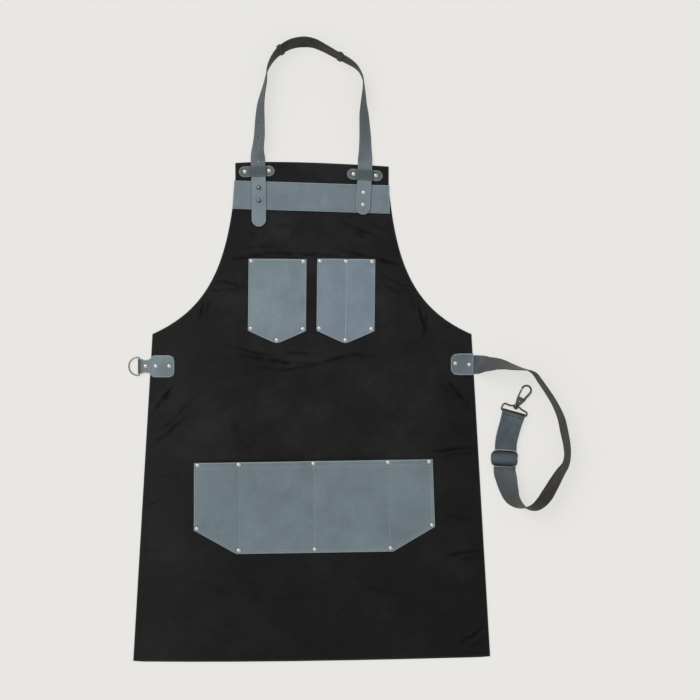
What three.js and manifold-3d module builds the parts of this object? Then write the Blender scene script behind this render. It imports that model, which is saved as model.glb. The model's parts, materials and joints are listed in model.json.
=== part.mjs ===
// A canvas bib apron with leather trim, lying flat on its back, in millimetres.
// +X is to the viewer's right, +Y runs up the apron towards the neck, +Z out of its front face.
// The origin is on the table, at the middle of the bottom hem.
import * as THREE from 'three';
import { mergeVertices } from 'three/addons/utils/BufferGeometryUtils.js';
import Module from 'manifold-3d';

const wasm = await Module();
wasm.setup();

// Canvas body
const HEM = 1.2; // the turned hem lies under the canvas and carries it off the table
const CANVAS = 0.9;
const FRONT = HEM + CANVAS; // height of the canvas's front face
const HEM_WIDTH = 12;
const BIB_HALF = 133.5;
const BIB_TOP = 860;
const SIDE_CORNER = 565.5; // height where the armhole meets the side edge
const SIDE_HALF = 277.5;
const BOTTOM_HALF = 310;

// Leather
const GAP = 0.2; // between layers that lie on each other
const LEATHER = 1.4;
const TRIM = FRONT + GAP; // back face of leather that lies on the canvas
const TRIM_TOP = TRIM + LEATHER;

// Neck strap and waist strap
const NECK_WIDTH = 25.4;
const NECK_THICK = 2.0;
const NECK_LEVEL = TRIM_TOP + GAP + NECK_THICK / 2; // middle of the strap where it crosses the band
const WAIST_WIDTH = 38.1;
const WAIST_THICK = 1.8;

// Where the neck strap is fixed to the bib
const studSpots = [[-92.2, 819.9], [-92.2, 797.3]];
const neckEndSpots = [[89.8, 811], [88.7, 790]];

// Rivets
const STUD_HOLE = 2.3;
const CAP_RADIUS = 3.5;
const CAP_HEIGHT = 1.5;
const POST_RADIUS = 1.2;
const HOLE_RADIUS = 1.7; // a six-sided hole, clear of the post

// Slider and snap hook
const WIRE = 2.2;
const SLIDER_HALF = 22.2; // from the middle of the slider to the middle of its side rails
const SLIDER_REACH = 13.8; // from its centre bar to its end bars
const UNDER_STRAP = 6.1; // back face of the waist strap where the slider and hook hold it up
const BAR_LEVEL = 4.7; // middle of the hook eye's bar inside the strap's fold

function material(color, roughness, metalness) {
  return new THREE.MeshStandardMaterial({ color, roughness, metalness });
}
const canvasBlack = material(0x222323, 0.95, 0);
const greyLeather = material(0x707d86, 0.6, 0);
const darkLeather = material(0x4a535c, 0.6, 0);
const nickel = material(0xb9bab6, 0.3, 1);
const gunmetal = material(0x55524c, 0.4, 1);

const apron = new THREE.Group();
apron.name = 'apron';

// ---------------------------------------------------------------- solids

function solid(geometry) {
  const bare = geometry.clone();
  bare.deleteAttribute('normal');
  bare.deleteAttribute('uv');
  const welded = mergeVertices(bare, 1e-4);
  return new wasm.Manifold(new wasm.Mesh({
    numProp: 3,
    vertProperties: new Float32Array(welded.attributes.position.array),
    triVerts: new Uint32Array(welded.index.array),
  }));
}

function geometryOf(manifold) {
  const mesh = manifold.getMesh();
  const geometry = new THREE.BufferGeometry();
  geometry.setAttribute('position', new THREE.BufferAttribute(mesh.vertProperties, 3));
  geometry.setIndex(new THREE.BufferAttribute(mesh.triVerts, 1));
  return geometry;
}

function slab(shape, low, high, curveSegments = 4) {
  const geometry = new THREE.ExtrudeGeometry(shape, { depth: high - low, bevelEnabled: false, curveSegments });
  return geometry.translate(0, 0, low);
}

function block(lowX, lowY, lowZ, highX, highY, highZ) {
  const geometry = new THREE.BoxGeometry(highX - lowX, highY - lowY, highZ - lowZ);
  return solid(geometry.translate((lowX + highX) / 2, (lowY + highY) / 2, (lowZ + highZ) / 2));
}

// An upright drill, to be cut from a sheet.
function drill(x, y, radius = HOLE_RADIUS) {
  const geometry = new THREE.CylinderGeometry(radius, radius, 60, 6);
  return solid(geometry.rotateX(Math.PI / 2).translate(x, y, 0));
}

function drilled(body, spots, radius = HOLE_RADIUS) {
  return spots.reduce((rest, [x, y]) => rest.subtract(drill(x, y, radius)), body);
}

// A closed outline through corners [x, y, radius], each rounded to its own radius.
function roundedShape(corners) {
  const shape = new THREE.Shape();
  const count = corners.length;
  corners.forEach(([x, y, radius], index) => {
    const corner = new THREE.Vector2(x, y);
    const before = new THREE.Vector2(...corners[(index + count - 1) % count].slice(0, 2));
    const after = new THREE.Vector2(...corners[(index + 1) % count].slice(0, 2));
    const start = corner.clone().add(before.sub(corner).setLength(radius));
    const end = corner.clone().add(after.sub(corner).setLength(radius));
    if (index === 0) {
      shape.moveTo(start.x, start.y);
    } else {
      shape.lineTo(start.x, start.y);
    }
    shape.quadraticCurveTo(x, y, end.x, end.y);
  });
  shape.closePath();
  return shape;
}

// A round wire along a curve.
function wire(curve, radius, steps, sides = 6) {
  const section = new THREE.Shape().absarc(0, 0, radius, 0, Math.PI * 2);
  return new THREE.ExtrudeGeometry(section, { steps, curveSegments: sides, extrudePath: curve });
}

function addMesh(name, geometry, finish, parent = apron) {
  const mesh = new THREE.Mesh(geometry, finish);
  mesh.name = name;
  parent.add(mesh);
  return mesh;
}

// A group that is turned about +Z, for trim that doesn't sit quite square on the apron.
function placed(x, y, degrees) {
  const group = new THREE.Group();
  group.position.set(x, y, 0);
  group.rotation.z = THREE.MathUtils.degToRad(degrees);
  group.updateMatrix();
  apron.add(group);
  return group;
}

// ---------------------------------------------------------------- rivets

const canvasHoles = []; // every place where a rivet or stud goes through the canvas

// A domed rivet: cap on the leather, post, and a flat back cap behind the canvas.
function addRivet(name, x, y, seat, parent = apron, back = 0.1) {
  const profile = [
    [0, back], [3.2, back], [3.4, back + 0.9], [POST_RADIUS, back + 0.9], [POST_RADIUS, seat],
    [CAP_RADIUS, seat], [CAP_RADIUS - 0.9, seat + CAP_HEIGHT - 0.4], [0, seat + CAP_HEIGHT],
  ].map(([radius, height]) => new THREE.Vector2(radius, height));
  const rivet = new THREE.LatheGeometry(profile, 6).rotateX(Math.PI / 2);
  addMesh(name, rivet, nickel, parent).position.set(x, y, 0);
  const spot = new THREE.Vector3(x, y, 0).applyMatrix4(parent.matrix);
  canvasHoles.push([spot.x, spot.y]);
}

// ---------------------------------------------------------------- patch pockets

// A sewn flange with a pouch raised over each compartment. A pouch is open at the pocket's top edge.
const POCKET_RISE = 6.8; // from the back of the leather to the top of the pouch
const MOUTH = 12; // how far the cutting shapes run past the top edge

// The same corners drawn in towards their middle by the leather's thickness, for the inside of a pouch.
function shrunk(corners) {
  const middle = corners.reduce((sum, [x]) => sum + x, 0) / corners.length;
  return corners.map(([x, y, radius]) => {
    const inward = Math.abs(x - middle) < 1 ? 0 : -Math.sign(x - middle) * LEATHER;
    return [x + inward, y > 0 ? y + 5 : y + LEATHER, radius];
  });
}

function addPocket(name, parent, outline, compartments, spots) {
  let pocket = solid(slab(roundedShape(outline), TRIM, TRIM_TOP, 2));
  const front = block(-300, -300, TRIM, 300, 0, 40);
  for (const corners of compartments) {
    pocket = pocket.add(solid(slab(roundedShape(corners), TRIM, TRIM + POCKET_RISE, 2)).intersect(front));
  }
  for (const corners of compartments) {
    pocket = pocket.subtract(solid(slab(roundedShape(shrunk(corners)), 0, TRIM + POCKET_RISE - LEATHER, 2)));
  }
  addMesh(name, geometryOf(drilled(pocket, spots)), greyLeather, parent);
  spots.forEach(([x, y], index) => addRivet(`${name}_rivet_${index + 1}`, x, y, TRIM_TOP + GAP, parent));
}

const CHEST_HALF = 50.8;
const CHEST_SIDE = 125; // from the top edge down to the shoulder
const CHEST_POINT = 148;
const CHEST_TOP = 696;
const SEAM = 10.5; // flat leather kept for the sewing at the sides of a pouch
const DIVIDE = 5; // and at each side of a dividing seam

const chestOutline = [
  [-CHEST_HALF, 0, 2], [-CHEST_HALF, -CHEST_SIDE, 5], [0, -CHEST_POINT, 12],
  [CHEST_HALF, -CHEST_SIDE, 5], [CHEST_HALF, 0, 2],
];

function chestCompartment(left, right) {
  const low = (x) => SEAM + 2 - CHEST_POINT + (Math.abs(x) / CHEST_HALF) * (CHEST_POINT - CHEST_SIDE);
  const corners = [[left, MOUTH, 2], [left, low(left), 6]];
  if (left < 0 && right > 0) {
    corners.push([0, low(0), 12]);
  }
  corners.push([right, low(right), 6], [right, MOUTH, 2]);
  return corners;
}

const chestSpots = [[-45.3, -4.5], [45.3, -4.5], [-45.3, -121.5], [0, -141.3], [45.3, -121.5]];
const chestInner = CHEST_HALF - SEAM;
addPocket('chest_pocket_left', placed(-60, CHEST_TOP, -0.5), chestOutline,
  [chestCompartment(-chestInner, chestInner)], chestSpots);
addPocket('chest_pocket_right', placed(59.4, CHEST_TOP, -0.6), chestOutline,
  [chestCompartment(-chestInner, -DIVIDE), chestCompartment(DIVIDE, chestInner)], [...chestSpots, [0, -4.5]]);

const LAP_HALF = 207.5;
const LAP_LOW_HALF = 209.7;
const LAP_FOOT_HALF = 136.3;
const LAP_SIDE = 117.5;
const LAP_HEIGHT = 159.5;
const LAP_DIVIDER = 130.5; // dividing seams at the middle and this far each side of it

const lapOutline = [
  [-LAP_HALF, 0, 2], [-LAP_LOW_HALF, -LAP_SIDE, 3], [-LAP_FOOT_HALF, -LAP_HEIGHT, 3],
  [LAP_FOOT_HALF, -LAP_HEIGHT, 3], [LAP_LOW_HALF, -LAP_SIDE, 3], [LAP_HALF, 0, 2],
];

function lapCompartments() {
  const side = LAP_HALF - SEAM;
  const sideLow = 8 - LAP_SIDE;
  const footLow = SEAM + 1 - LAP_HEIGHT;
  const inner = (sign) => [
    [sign * DIVIDE, MOUTH, 2], [sign * DIVIDE, footLow, 6],
    [sign * (LAP_DIVIDER - DIVIDE), footLow, 6], [sign * (LAP_DIVIDER - DIVIDE), MOUTH, 2],
  ];
  const outer = (sign) => [
    [sign * (LAP_DIVIDER + DIVIDE), MOUTH, 2], [sign * (LAP_DIVIDER + DIVIDE), footLow + 4, 6],
    [sign * side, sideLow, 8], [sign * side, MOUTH, 2],
  ];
  return [outer(-1), inner(-1).reverse(), inner(1), outer(1).reverse()].map((corners) => (
    THREE.ShapeUtils.area(corners.map(([x, y]) => new THREE.Vector2(x, y))) < 0 ? corners.reverse() : corners
  ));
}

addPocket('lower_pocket', placed(2.4, 344.6, 0.93), lapOutline, lapCompartments(), [
  [-201.4, -4.6], [-129.7, -4.5], [0, -4.5], [129.7, -4.5], [201.4, -4.6],
  [-204.4, -114.6], [-132, -153.6], [0, -153.6], [132, -153.6], [204.4, -114.6],
]);

// ---------------------------------------------------------------- bib band

const BAND_HEIGHT = 50;
const BAND_HALF = 137;
const bandGroup = placed(-1, 803.2, -1.8);
const bandHoles = [...studSpots, ...neckEndSpots]
  .map(([x, y]) => new THREE.Vector3(x, y, 0).applyMatrix4(bandGroup.matrix.clone().invert()))
  .map((spot) => [spot.x, spot.y]);
const bandSlab = slab(roundedShape([
  [-BAND_HALF, -BAND_HEIGHT / 2, 1], [BAND_HALF, -BAND_HEIGHT / 2, 1],
  [BAND_HALF - 2, BAND_HEIGHT / 2, 1], [2 - BAND_HALF, BAND_HEIGHT / 2, 1],
]), TRIM, TRIM_TOP, 1);
addMesh('bib_band', geometryOf(drilled(solid(bandSlab), bandHoles, STUD_HOLE)), greyLeather, bandGroup);

// ---------------------------------------------------------------- straps

// A strap follows route points {x, y, lift, roll}: lift is the height of its lower edge's middle,
// and roll turns it onto its right-hand edge's far side, so 90 stands it on its left edge.
function routeOf(width, rows) {
  return rows.map(([x, y, lift, roll]) => {
    const angle = THREE.MathUtils.degToRad(roll);
    return { place: new THREE.Vector3(x, y, lift + (width / 2) * Math.sin(angle)), roll: angle };
  });
}

// Frames along the route: a point, the direction of the strap's width and its face's normal.
// The width keeps pointing to the same side, so a strap may fold back under itself.
function framesOf(route, stepAt) {
  const curve = new THREE.CatmullRomCurve3(route.map(({ place }) => place));
  curve.arcLengthDivisions = 3000;
  const length = curve.getLength();
  const marks = [0];
  while (marks.at(-1) + stepAt(marks.at(-1), length) < length - 1) {
    marks.push(marks.at(-1) + stepAt(marks.at(-1), length));
  }
  marks.push(length);
  let side = new THREE.Vector3();
  return marks.map((mark) => {
    const t = curve.getUtoTmapping(0, mark) * (route.length - 1);
    const first = Math.min(Math.floor(t), route.length - 2);
    const roll = THREE.MathUtils.lerp(route[first].roll, route[first + 1].roll, t - first);
    const tangent = curve.getTangent(t / (route.length - 1));
    if (Math.hypot(tangent.x, tangent.y) > 0.5) {
      const next = new THREE.Vector3(tangent.y, -tangent.x, 0).normalize();
      side = next.dot(side) < 0 ? next.negate() : next;
    }
    const up = side.clone().cross(tangent).normalize();
    const across = side.clone().multiplyScalar(Math.cos(roll)).addScaledVector(up, Math.sin(roll));
    const normal = across.clone().cross(tangent).normalize();
    const point = curve.getPoint(t / (route.length - 1));
    return { point, across, normal, mark, left: length - mark };
  });
}

// Bends a flat strap along its frames. halfAt(frame) gives its half width there.
function strap(frames, thickness, halfAt) {
  const rows = frames.length - 1;
  const geometry = new THREE.BoxGeometry(1, 1, thickness, rows, 1, 1);
  const position = geometry.attributes.position;
  for (let index = 0; index < position.count; index += 1) {
    const frame = frames[Math.round((position.getX(index) + 0.5) * rows)];
    const sideways = -Math.sign(position.getY(index)) * halfAt(frame); // the box's +Y is the strap's left
    const vertex = frame.point.clone().addScaledVector(frame.across, sideways);
    vertex.addScaledVector(frame.normal, position.getZ(index));
    position.setXYZ(index, vertex.x, vertex.y, vertex.z);
  }
  return geometry;
}

// Neck strap: from the tail on the bib, over the wearer's neck, and down to the riveted end.
const neckRoute = routeOf(NECK_WIDTH, [
  [-92.2, 751.9, NECK_LEVEL, 0], [-92.2, 797.3, NECK_LEVEL, 0], [-92.2, 819.9, NECK_LEVEL, 0],
  [-93.4, 847.4, NECK_LEVEL, 0], [-93.8, 868, NECK_LEVEL, 0], [-94.1, 880, 2.4, 24], [-93.1, 892, 1.6, 36],
  [-91.2, 908, 1.5, 40], [-90.3, 934, 1.4, 47], [-88.7, 962, 1.2, 58], [-85.6, 979.9, 1.0, 68],
  [-80.9, 1000.4, 0.6, 76], [-76.4, 1025.6, 0.3, 90], [-66.7, 1044.2, 0.6, 102],
  [-53.9, 1057.8, 1.0, 114], [-35.4, 1068.1, 1.2, 121], [-13.3, 1071.7, 1.3, 125],
  [4.1, 1069, 1.3, 119], [22.8, 1060.2, 1.1, 112], [41.3, 1049.9, 1.0, 109], [61.3, 1039.3, 1.0, 106],
  [75.6, 1029.6, 0.6, 98], [83.5, 1020, 0.4, 91], [88.6, 1008, 0.3, 90], [90.3, 991.8, 0.5, 84],
  [90, 965.7, 1.1, 68], [90.5, 946.6, 1.3, 52], [92.4, 910, 1.5, 39], [92.7, 885, 2.0, 29],
  [92.6, 876, 2.6, 20], [92.4, 866, NECK_LEVEL, 0], [92.2, 856, NECK_LEVEL, 0], [91.9, 842, NECK_LEVEL, 0],
  [89.8, 811, NECK_LEVEL, 0], [88.7, 790, NECK_LEVEL, 0], [89.4, 772.7, NECK_LEVEL, 0],
]);
const ROUND_END = NECK_WIDTH / 2;
const neckFrames = framesOf(neckRoute, (mark, length) => (
  mark < ROUND_END || mark > length - ROUND_END - 4 ? 3 : 11
));

// Both ends of the neck strap are rounded off.
function neckHalf({ mark, left }) {
  const fromTip = Math.min(mark, left, ROUND_END);
  return Math.max(Math.sqrt(ROUND_END ** 2 - (ROUND_END - fromTip) ** 2), 4);
}

// Punches a hole square through the strap at each distance from its tail.
function punched(body, frames, distances, radius) {
  return distances.reduce((rest, distance) => {
    const { point, normal } = frames.find(({ mark }) => mark >= distance);
    const punch = new THREE.CylinderGeometry(radius, radius, 9, 8);
    punch.applyQuaternion(new THREE.Quaternion().setFromUnitVectors(new THREE.Vector3(0, 1, 0), normal));
    return rest.subtract(solid(punch.translate(point.x, point.y, point.z)));
  }, body);
}

let neckStrap = solid(strap(neckFrames, NECK_THICK, neckHalf));
neckStrap = drilled(neckStrap, studSpots, STUD_HOLE);
neckStrap = drilled(neckStrap, neckEndSpots);
neckStrap = punched(neckStrap, neckFrames, [114, 137, 156, 182], 1.9);
addMesh('neck_strap', geometryOf(neckStrap), darkLeather);

// A ball stud: the strap's punched hole snaps over its head.
function addStud(name, x, y) {
  const foot = 0.1;
  const seat = NECK_LEVEL + NECK_THICK / 2 + GAP;
  const profile = [
    [0, foot], [3.4, foot], [3.4, foot + 0.9], [1.9, foot + 0.9], [1.9, seat],
    [3.3, seat + 0.9], [3.3, seat + 1.8], [2, seat + 2.8], [0, seat + 3.2],
  ].map(([radius, height]) => new THREE.Vector2(radius, height));
  addMesh(name, new THREE.LatheGeometry(profile, 10).rotateX(Math.PI / 2), gunmetal).position.set(x, y, 0);
  canvasHoles.push([x, y]);
}
addStud('ball_stud_upper', ...studSpots[0]);
addStud('ball_stud_lower', ...studSpots[1]);
neckEndSpots.forEach(([x, y], index) => {
  addRivet(`neck_end_rivet_${index + 1}`, x, y, NECK_LEVEL + NECK_THICK / 2 + GAP);
});

// ---------------------------------------------------------------- keepers on the bib

const KEEPER_HALF = 31;
const KEEPER_HEIGHT = 18.5;
const KEEPER_TOP = NECK_LEVEL + NECK_THICK / 2 + GAP + LEATHER;

// A stadium tab with a rivet at each end and a bridge over the strap, offset from its middle.
function addKeeper(name, x, y, degrees, offset, spots) {
  const parent = placed(x, y, degrees);
  const end = KEEPER_HEIGHT / 2;
  const plan = roundedShape([
    [-KEEPER_HALF, -end, end], [KEEPER_HALF, -end, end], [KEEPER_HALF, end, end], [-KEEPER_HALF, end, end],
  ]);
  const inner = NECK_WIDTH / 2 + 0.9;
  const outer = inner + LEATHER;
  const under = KEEPER_TOP - LEATHER;
  const profile = new THREE.Shape([
    [-40, TRIM], [offset - inner, TRIM], [offset - inner, under], [offset + inner, under],
    [offset + inner, TRIM], [40, TRIM], [40, TRIM_TOP], [offset + outer, TRIM_TOP],
    [offset + outer, KEEPER_TOP], [offset - outer, KEEPER_TOP], [offset - outer, TRIM_TOP], [-40, TRIM_TOP],
  ].map(([along, height]) => new THREE.Vector2(along, height)));
  const ribbon = slab(profile, -20, 20).rotateX(Math.PI / 2);
  const keeper = solid(slab(plan, 0, 20, 5)).intersect(solid(ribbon));
  addMesh(name, geometryOf(drilled(keeper, spots)), darkLeather, parent);
  spots.forEach(([u, v], index) => addRivet(`${name}_rivet_${index + 1}`, u, v, TRIM_TOP + GAP, parent));
}
addKeeper('strap_keeper_left', -96.1, 848.2, 1.9, 2.6, [[-20.5, 0], [21.7, 0]]);
addKeeper('strap_keeper_right', 91.9, 842, -4, 0, [[-19.3, 0], [19.3, 0]]);

// ---------------------------------------------------------------- loops on the neck strap

// A leather loop wrapped once round the strap, at a distance from its tail.
function addLoop(name, distance) {
  const { point, across, normal } = neckFrames.find(({ mark }) => mark >= distance);
  const ring = (half, thick) => roundedShape([
    [-half, -thick, 0.6], [half, -thick, 0.6], [half, thick, 0.6], [-half, thick, 0.6],
  ]);
  const shape = ring(NECK_WIDTH / 2 + 0.6 + LEATHER, NECK_THICK / 2 + 0.7 + LEATHER);
  shape.holes.push(ring(NECK_WIDTH / 2 + 0.6, NECK_THICK / 2 + 0.7));
  const loop = addMesh(name, slab(shape, -4, 4, 1), darkLeather);
  const along = across.clone().cross(normal);
  loop.matrix.makeBasis(across, normal, along).setPosition(point);
  loop.matrix.decompose(loop.position, loop.quaternion, loop.scale);
}
addLoop('neck_loop_left', 314);
addLoop('neck_loop_right', 428);

// ---------------------------------------------------------------- D-ring and its tab

const RING_X = -300;
const RING_Y = 509.3;
const RING_LEVEL = 2.8;
const RING_HALF = 14.7;
const RING_DEPTH = 18.3;

const tabSpots = [[-289, RING_Y], [-271.3, RING_Y], [-248, RING_Y]];

// The tab's plan: narrow at the ring, wide and round-cornered on the canvas.
function tabPlan() {
  return roundedShape([
    [-306, RING_Y - 14, 1], [-297, RING_Y - 14, 2], [-292, RING_Y - 10.5, 3], [-284, RING_Y - 11, 3],
    [-276, RING_Y - 19, 3], [-239.5, RING_Y - 19, 9], [-239.5, RING_Y + 19, 9], [-276, RING_Y + 19, 3],
    [-284, RING_Y + 11, 3], [-292, RING_Y + 10.5, 3], [-297, RING_Y + 14, 2], [-306, RING_Y + 14, 1],
  ]);
}

// The tab's section: from the short back leaf, round the ring's bar, to the long front leaf.
function tabSection() {
  const leaf = 1.2;
  const inner = WIRE / 2 + 0.25;
  const outer = inner + leaf;
  const meet = RING_X + 7; // where the two leaves lie together
  const backEnd = RING_X + 16;
  const section = new THREE.Shape();
  section.moveTo(-230, TRIM);
  section.lineTo(-230, TRIM + leaf);
  section.lineTo(meet, TRIM + leaf);
  section.lineTo(RING_X, RING_LEVEL + outer);
  section.absarc(RING_X, RING_LEVEL, outer, Math.PI / 2, Math.PI * 1.5, false);
  section.lineTo(meet, 1.1);
  section.lineTo(backEnd, 1.1);
  section.lineTo(backEnd, 2.1);
  section.lineTo(meet, 2.1);
  section.lineTo(RING_X, RING_LEVEL - inner);
  section.absarc(RING_X, RING_LEVEL, inner, Math.PI * 1.5, Math.PI / 2, true);
  section.lineTo(meet, TRIM);
  section.closePath();
  return section;
}
const tabRibbon = slab(tabSection(), -RING_Y - 25, -RING_Y + 25, 5).rotateX(Math.PI / 2);
const ringTab = solid(slab(tabPlan(), -5, 20, 3)).intersect(solid(tabRibbon));
addMesh('d_ring_tab', geometryOf(drilled(ringTab, tabSpots)), greyLeather);
tabSpots.forEach(([x, y], index) => {
  addRivet(`d_ring_tab_rivet_${index + 1}`, x, y, TRIM + 1.2 + GAP);
});

// A round wire bent into a closed loop along a flat outline, rising and falling by levelAt(place).
function closedWire(outline, radius, steps, sides, levelAt = () => 0) {
  const geometry = new THREE.TorusGeometry(10, 1, sides, steps);
  const position = geometry.attributes.position;
  for (let index = 0; index < position.count; index += 1) {
    const along = (index % (steps + 1)) / steps;
    const round = (Math.floor(index / (steps + 1)) / sides) * Math.PI * 2;
    const place = outline.getPointAt(along % 1);
    const tangent = outline.getTangentAt(along % 1);
    const out = Math.cos(round) * radius;
    position.setXYZ(
      index,
      place.x + tangent.y * out,
      place.y - tangent.x * out,
      levelAt(place) + Math.sin(round) * radius,
    );
  }
  return geometry;
}

// The ring: a straight bar inside the tab and a bow outside it, lying slightly down to the table.
const ringOutline = new THREE.Path();
ringOutline.moveTo(0, -RING_HALF);
ringOutline.lineTo(0, RING_HALF);
ringOutline.bezierCurveTo(-2, RING_HALF + 2.5, -RING_DEPTH, RING_HALF - 2, -RING_DEPTH, 0);
ringOutline.bezierCurveTo(-RING_DEPTH, 2 - RING_HALF, -2, -RING_HALF - 2.5, 0, -RING_HALF);
const ringGroup = new THREE.Group();
ringGroup.position.set(RING_X, RING_Y, RING_LEVEL);
ringGroup.rotation.y = THREE.MathUtils.degToRad(-4.5);
apron.add(ringGroup);
addMesh('d_ring', closedWire(ringOutline, WIRE / 2, 30, 6), nickel, ringGroup);

// ---------------------------------------------------------------- waist strap

const sliderSpot = new THREE.Vector2(335.5, 349.7); // the strap's middle at the slider
const SLIDER_TURN = -3; // degrees
const hookBar = new THREE.Vector2(350.6, 428.3); // middle of the hook eye's bar
const HOOK_TURN = -15.6;
const waistTop = UNDER_STRAP + WAIST_THICK / 2;
const foldRadius = WIRE / 2 + 0.45 + WAIST_THICK / 2;
const waistFlat = TRIM + WAIST_THICK / 2;

// Half a turn round the eye's bar, as route rows.
function foldRows() {
  const turn = THREE.MathUtils.degToRad(HOOK_TURN);
  return [90, 54, 18, -18, -54, -90].map((degrees) => {
    const angle = THREE.MathUtils.degToRad(degrees);
    const ahead = Math.cos(angle) * foldRadius;
    const level = BAR_LEVEL + Math.sin(angle) * foldRadius;
    return [hookBar.x - Math.sin(turn) * ahead, hookBar.y + Math.cos(turn) * ahead, level, 0];
  });
}

const waistRoute = routeOf(WAIST_WIDTH, [
  [247, 512.5, waistFlat, 0], [262, 512.4, waistFlat, 0], [277, 512.3, waistFlat, 0],
  [286, 512.3, waistFlat + 0.1, 1], [304, 513.1, 1.6, 44], [318.4, 513.8, 1.6, 56],
  [333.7, 512.1, 1.4, 66], [346.4, 508.8, 0.9, 74],
  [362.1, 505.4, 0.5, 84], [374.6, 502.7, 0.3, 90], [385.4, 496.6, 0.5, 95], [394.7, 483.8, 0.6, 97],
  [407.8, 464.7, 0.7, 98], [420.1, 444.6, 0.8, 99], [431.1, 419.8, 0.8, 102], [436.5, 395.6, 0.8, 103],
  [440.9, 373.1, 0.7, 101], [441.8, 353.4, 0.7, 98], [438.6, 339.4, 0.8, 100], [429.9, 326.3, 0.9, 106],
  [419.3, 308, 1.0, 112], [407, 286.9, 1.2, 116], [397.1, 274.2, 1.0, 112], [385.7, 265.8, 0.6, 103],
  [372.1, 264, 0.3, 89], [359.1, 269.8, 0.9, 69], [347.2, 282.3, 1.8, 47], [340.7, 299.3, 2.4, 33],
  [337.2, 314.8, 4.6, 18], [334.4, 327, waistTop, 0], [334.8, 336, waistTop, 0],
  [sliderSpot.x, sliderSpot.y, waistTop, 0],
  [336.3, 365, waistTop, 0], [337.2, 378, waistTop, 0], [340.6, 393, waistTop, 0], [345.1, 409, waistTop, 0],
  ...foldRows(), [345.1, 409, BAR_LEVEL - foldRadius, 0], [340.6, 393, BAR_LEVEL - foldRadius, 0],
  [337.6, 380, BAR_LEVEL - foldRadius, 0],
]);
const FOLD_MARK = 602; // distance along the strap where its fold begins
const waistFrames = framesOf(waistRoute, (mark) => (
  mark > FOLD_MARK && mark < FOLD_MARK + 14 ? 1.3 : 9
));
const patchSpots = [[249.2, 514.2], [273.5, 512.1]];
const waistStrap = solid(strap(waistFrames, WAIST_THICK, () => WAIST_WIDTH / 2));
addMesh('waist_strap', geometryOf(drilled(waistStrap, patchSpots)), darkLeather);

// The patch that clamps the strap's end to the side of the apron.
const patchLow = TRIM + WAIST_THICK + GAP;
const patch = solid(slab(roundedShape([
  [241.5, 493.5, 10], [282.5, 493.5, 2], [282.5, 532.3, 2], [241.5, 532.3, 10],
]), patchLow, patchLow + LEATHER, 4));
addMesh('waist_patch', geometryOf(drilled(patch, patchSpots)), greyLeather);
patchSpots.forEach(([x, y], index) => {
  addRivet(`waist_patch_rivet_${index + 1}`, x, y, patchLow + LEATHER + GAP);
});

// ---------------------------------------------------------------- slider

const sliderGroup = placed(sliderSpot.x - 1.6, sliderSpot.y, SLIDER_TURN);
const CENTRE_BAR = 3.5; // height of the bar under the strap
const END_BAR = UNDER_STRAP + WAIST_THICK + 0.35 + WIRE / 2;
const RAIL_RISE = 8.5; // the side rails climb to the end bars' height within this distance
const sliderOutline = roundedShape([
  [-SLIDER_HALF, -SLIDER_REACH, 5], [SLIDER_HALF, -SLIDER_REACH, 5],
  [SLIDER_HALF, SLIDER_REACH, 5], [-SLIDER_HALF, SLIDER_REACH, 5],
]);
const sliderLoop = closedWire(sliderOutline, WIRE / 2, 40, 6, ({ y }) => (
  THREE.MathUtils.lerp(CENTRE_BAR, END_BAR, Math.min(Math.abs(y) / RAIL_RISE, 1))
));
const centreBar = new THREE.CylinderGeometry(WIRE / 2, WIRE / 2, 2 * SLIDER_HALF, 8);
centreBar.rotateZ(Math.PI / 2).translate(0, 0, CENTRE_BAR);
addMesh('slider_frame', geometryOf(solid(sliderLoop).add(solid(centreBar))), gunmetal, sliderGroup);

// The strap's own end, sewn round the centre bar: a sleeve with a short tongue towards the hook.
function sleeveSection() {
  const section = new THREE.Shape();
  section.moveTo(12, -2.2);
  section.lineTo(12, -1.1);
  section.lineTo(2, -1.1);
  section.absarc(0, 0, 2.28, -0.5, Math.PI * 1.5, false);
  section.closePath();
  section.holes.push(new THREE.Path().absarc(0, 0, WIRE / 2 + 0.3, 0, Math.PI * 2, true));
  return section;
}
const sleeve = slab(sleeveSection(), -18, 18, 8);
sleeve.rotateX(Math.PI / 2).rotateZ(Math.PI / 2).translate(1.6, 0, CENTRE_BAR);
addMesh('slider_sleeve', sleeve, darkLeather, sliderGroup);

// ---------------------------------------------------------------- snap hook

const HOOK_PITCH = -3; // degrees, so that the hook's far end lies on the table
const STEM_RADIUS = 1.2;
const BORE_RADIUS = 1.5;
const knob = new THREE.Vector2(1.2, 12.8); // the swivel, from the middle of the eye's bar
const LEAN = -11.4; // degrees that the hook leans over on its swivel

// The eye's group has +Y along the strap and +X along the bar.
const eyeGroup = new THREE.Group();
eyeGroup.position.set(hookBar.x, hookBar.y, BAR_LEVEL);
eyeGroup.rotation.order = 'ZXY';
eyeGroup.rotation.x = THREE.MathUtils.degToRad(HOOK_PITCH);
eyeGroup.rotation.z = THREE.MathUtils.degToRad(HOOK_TURN);
apron.add(eyeGroup);

// Everything on the swivel has +Y along the hook, from the middle of the swivel's collar.
const hookGroup = new THREE.Group();
hookGroup.position.set(knob.x, knob.y, 0);
hookGroup.rotation.z = THREE.MathUtils.degToRad(LEAN);
eyeGroup.add(hookGroup);

function turnedRod(radius, low, high) {
  const rod = new THREE.CylinderGeometry(radius, radius, high - low, 10);
  return rod.translate(0, (low + high) / 2, 0);
}

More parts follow.
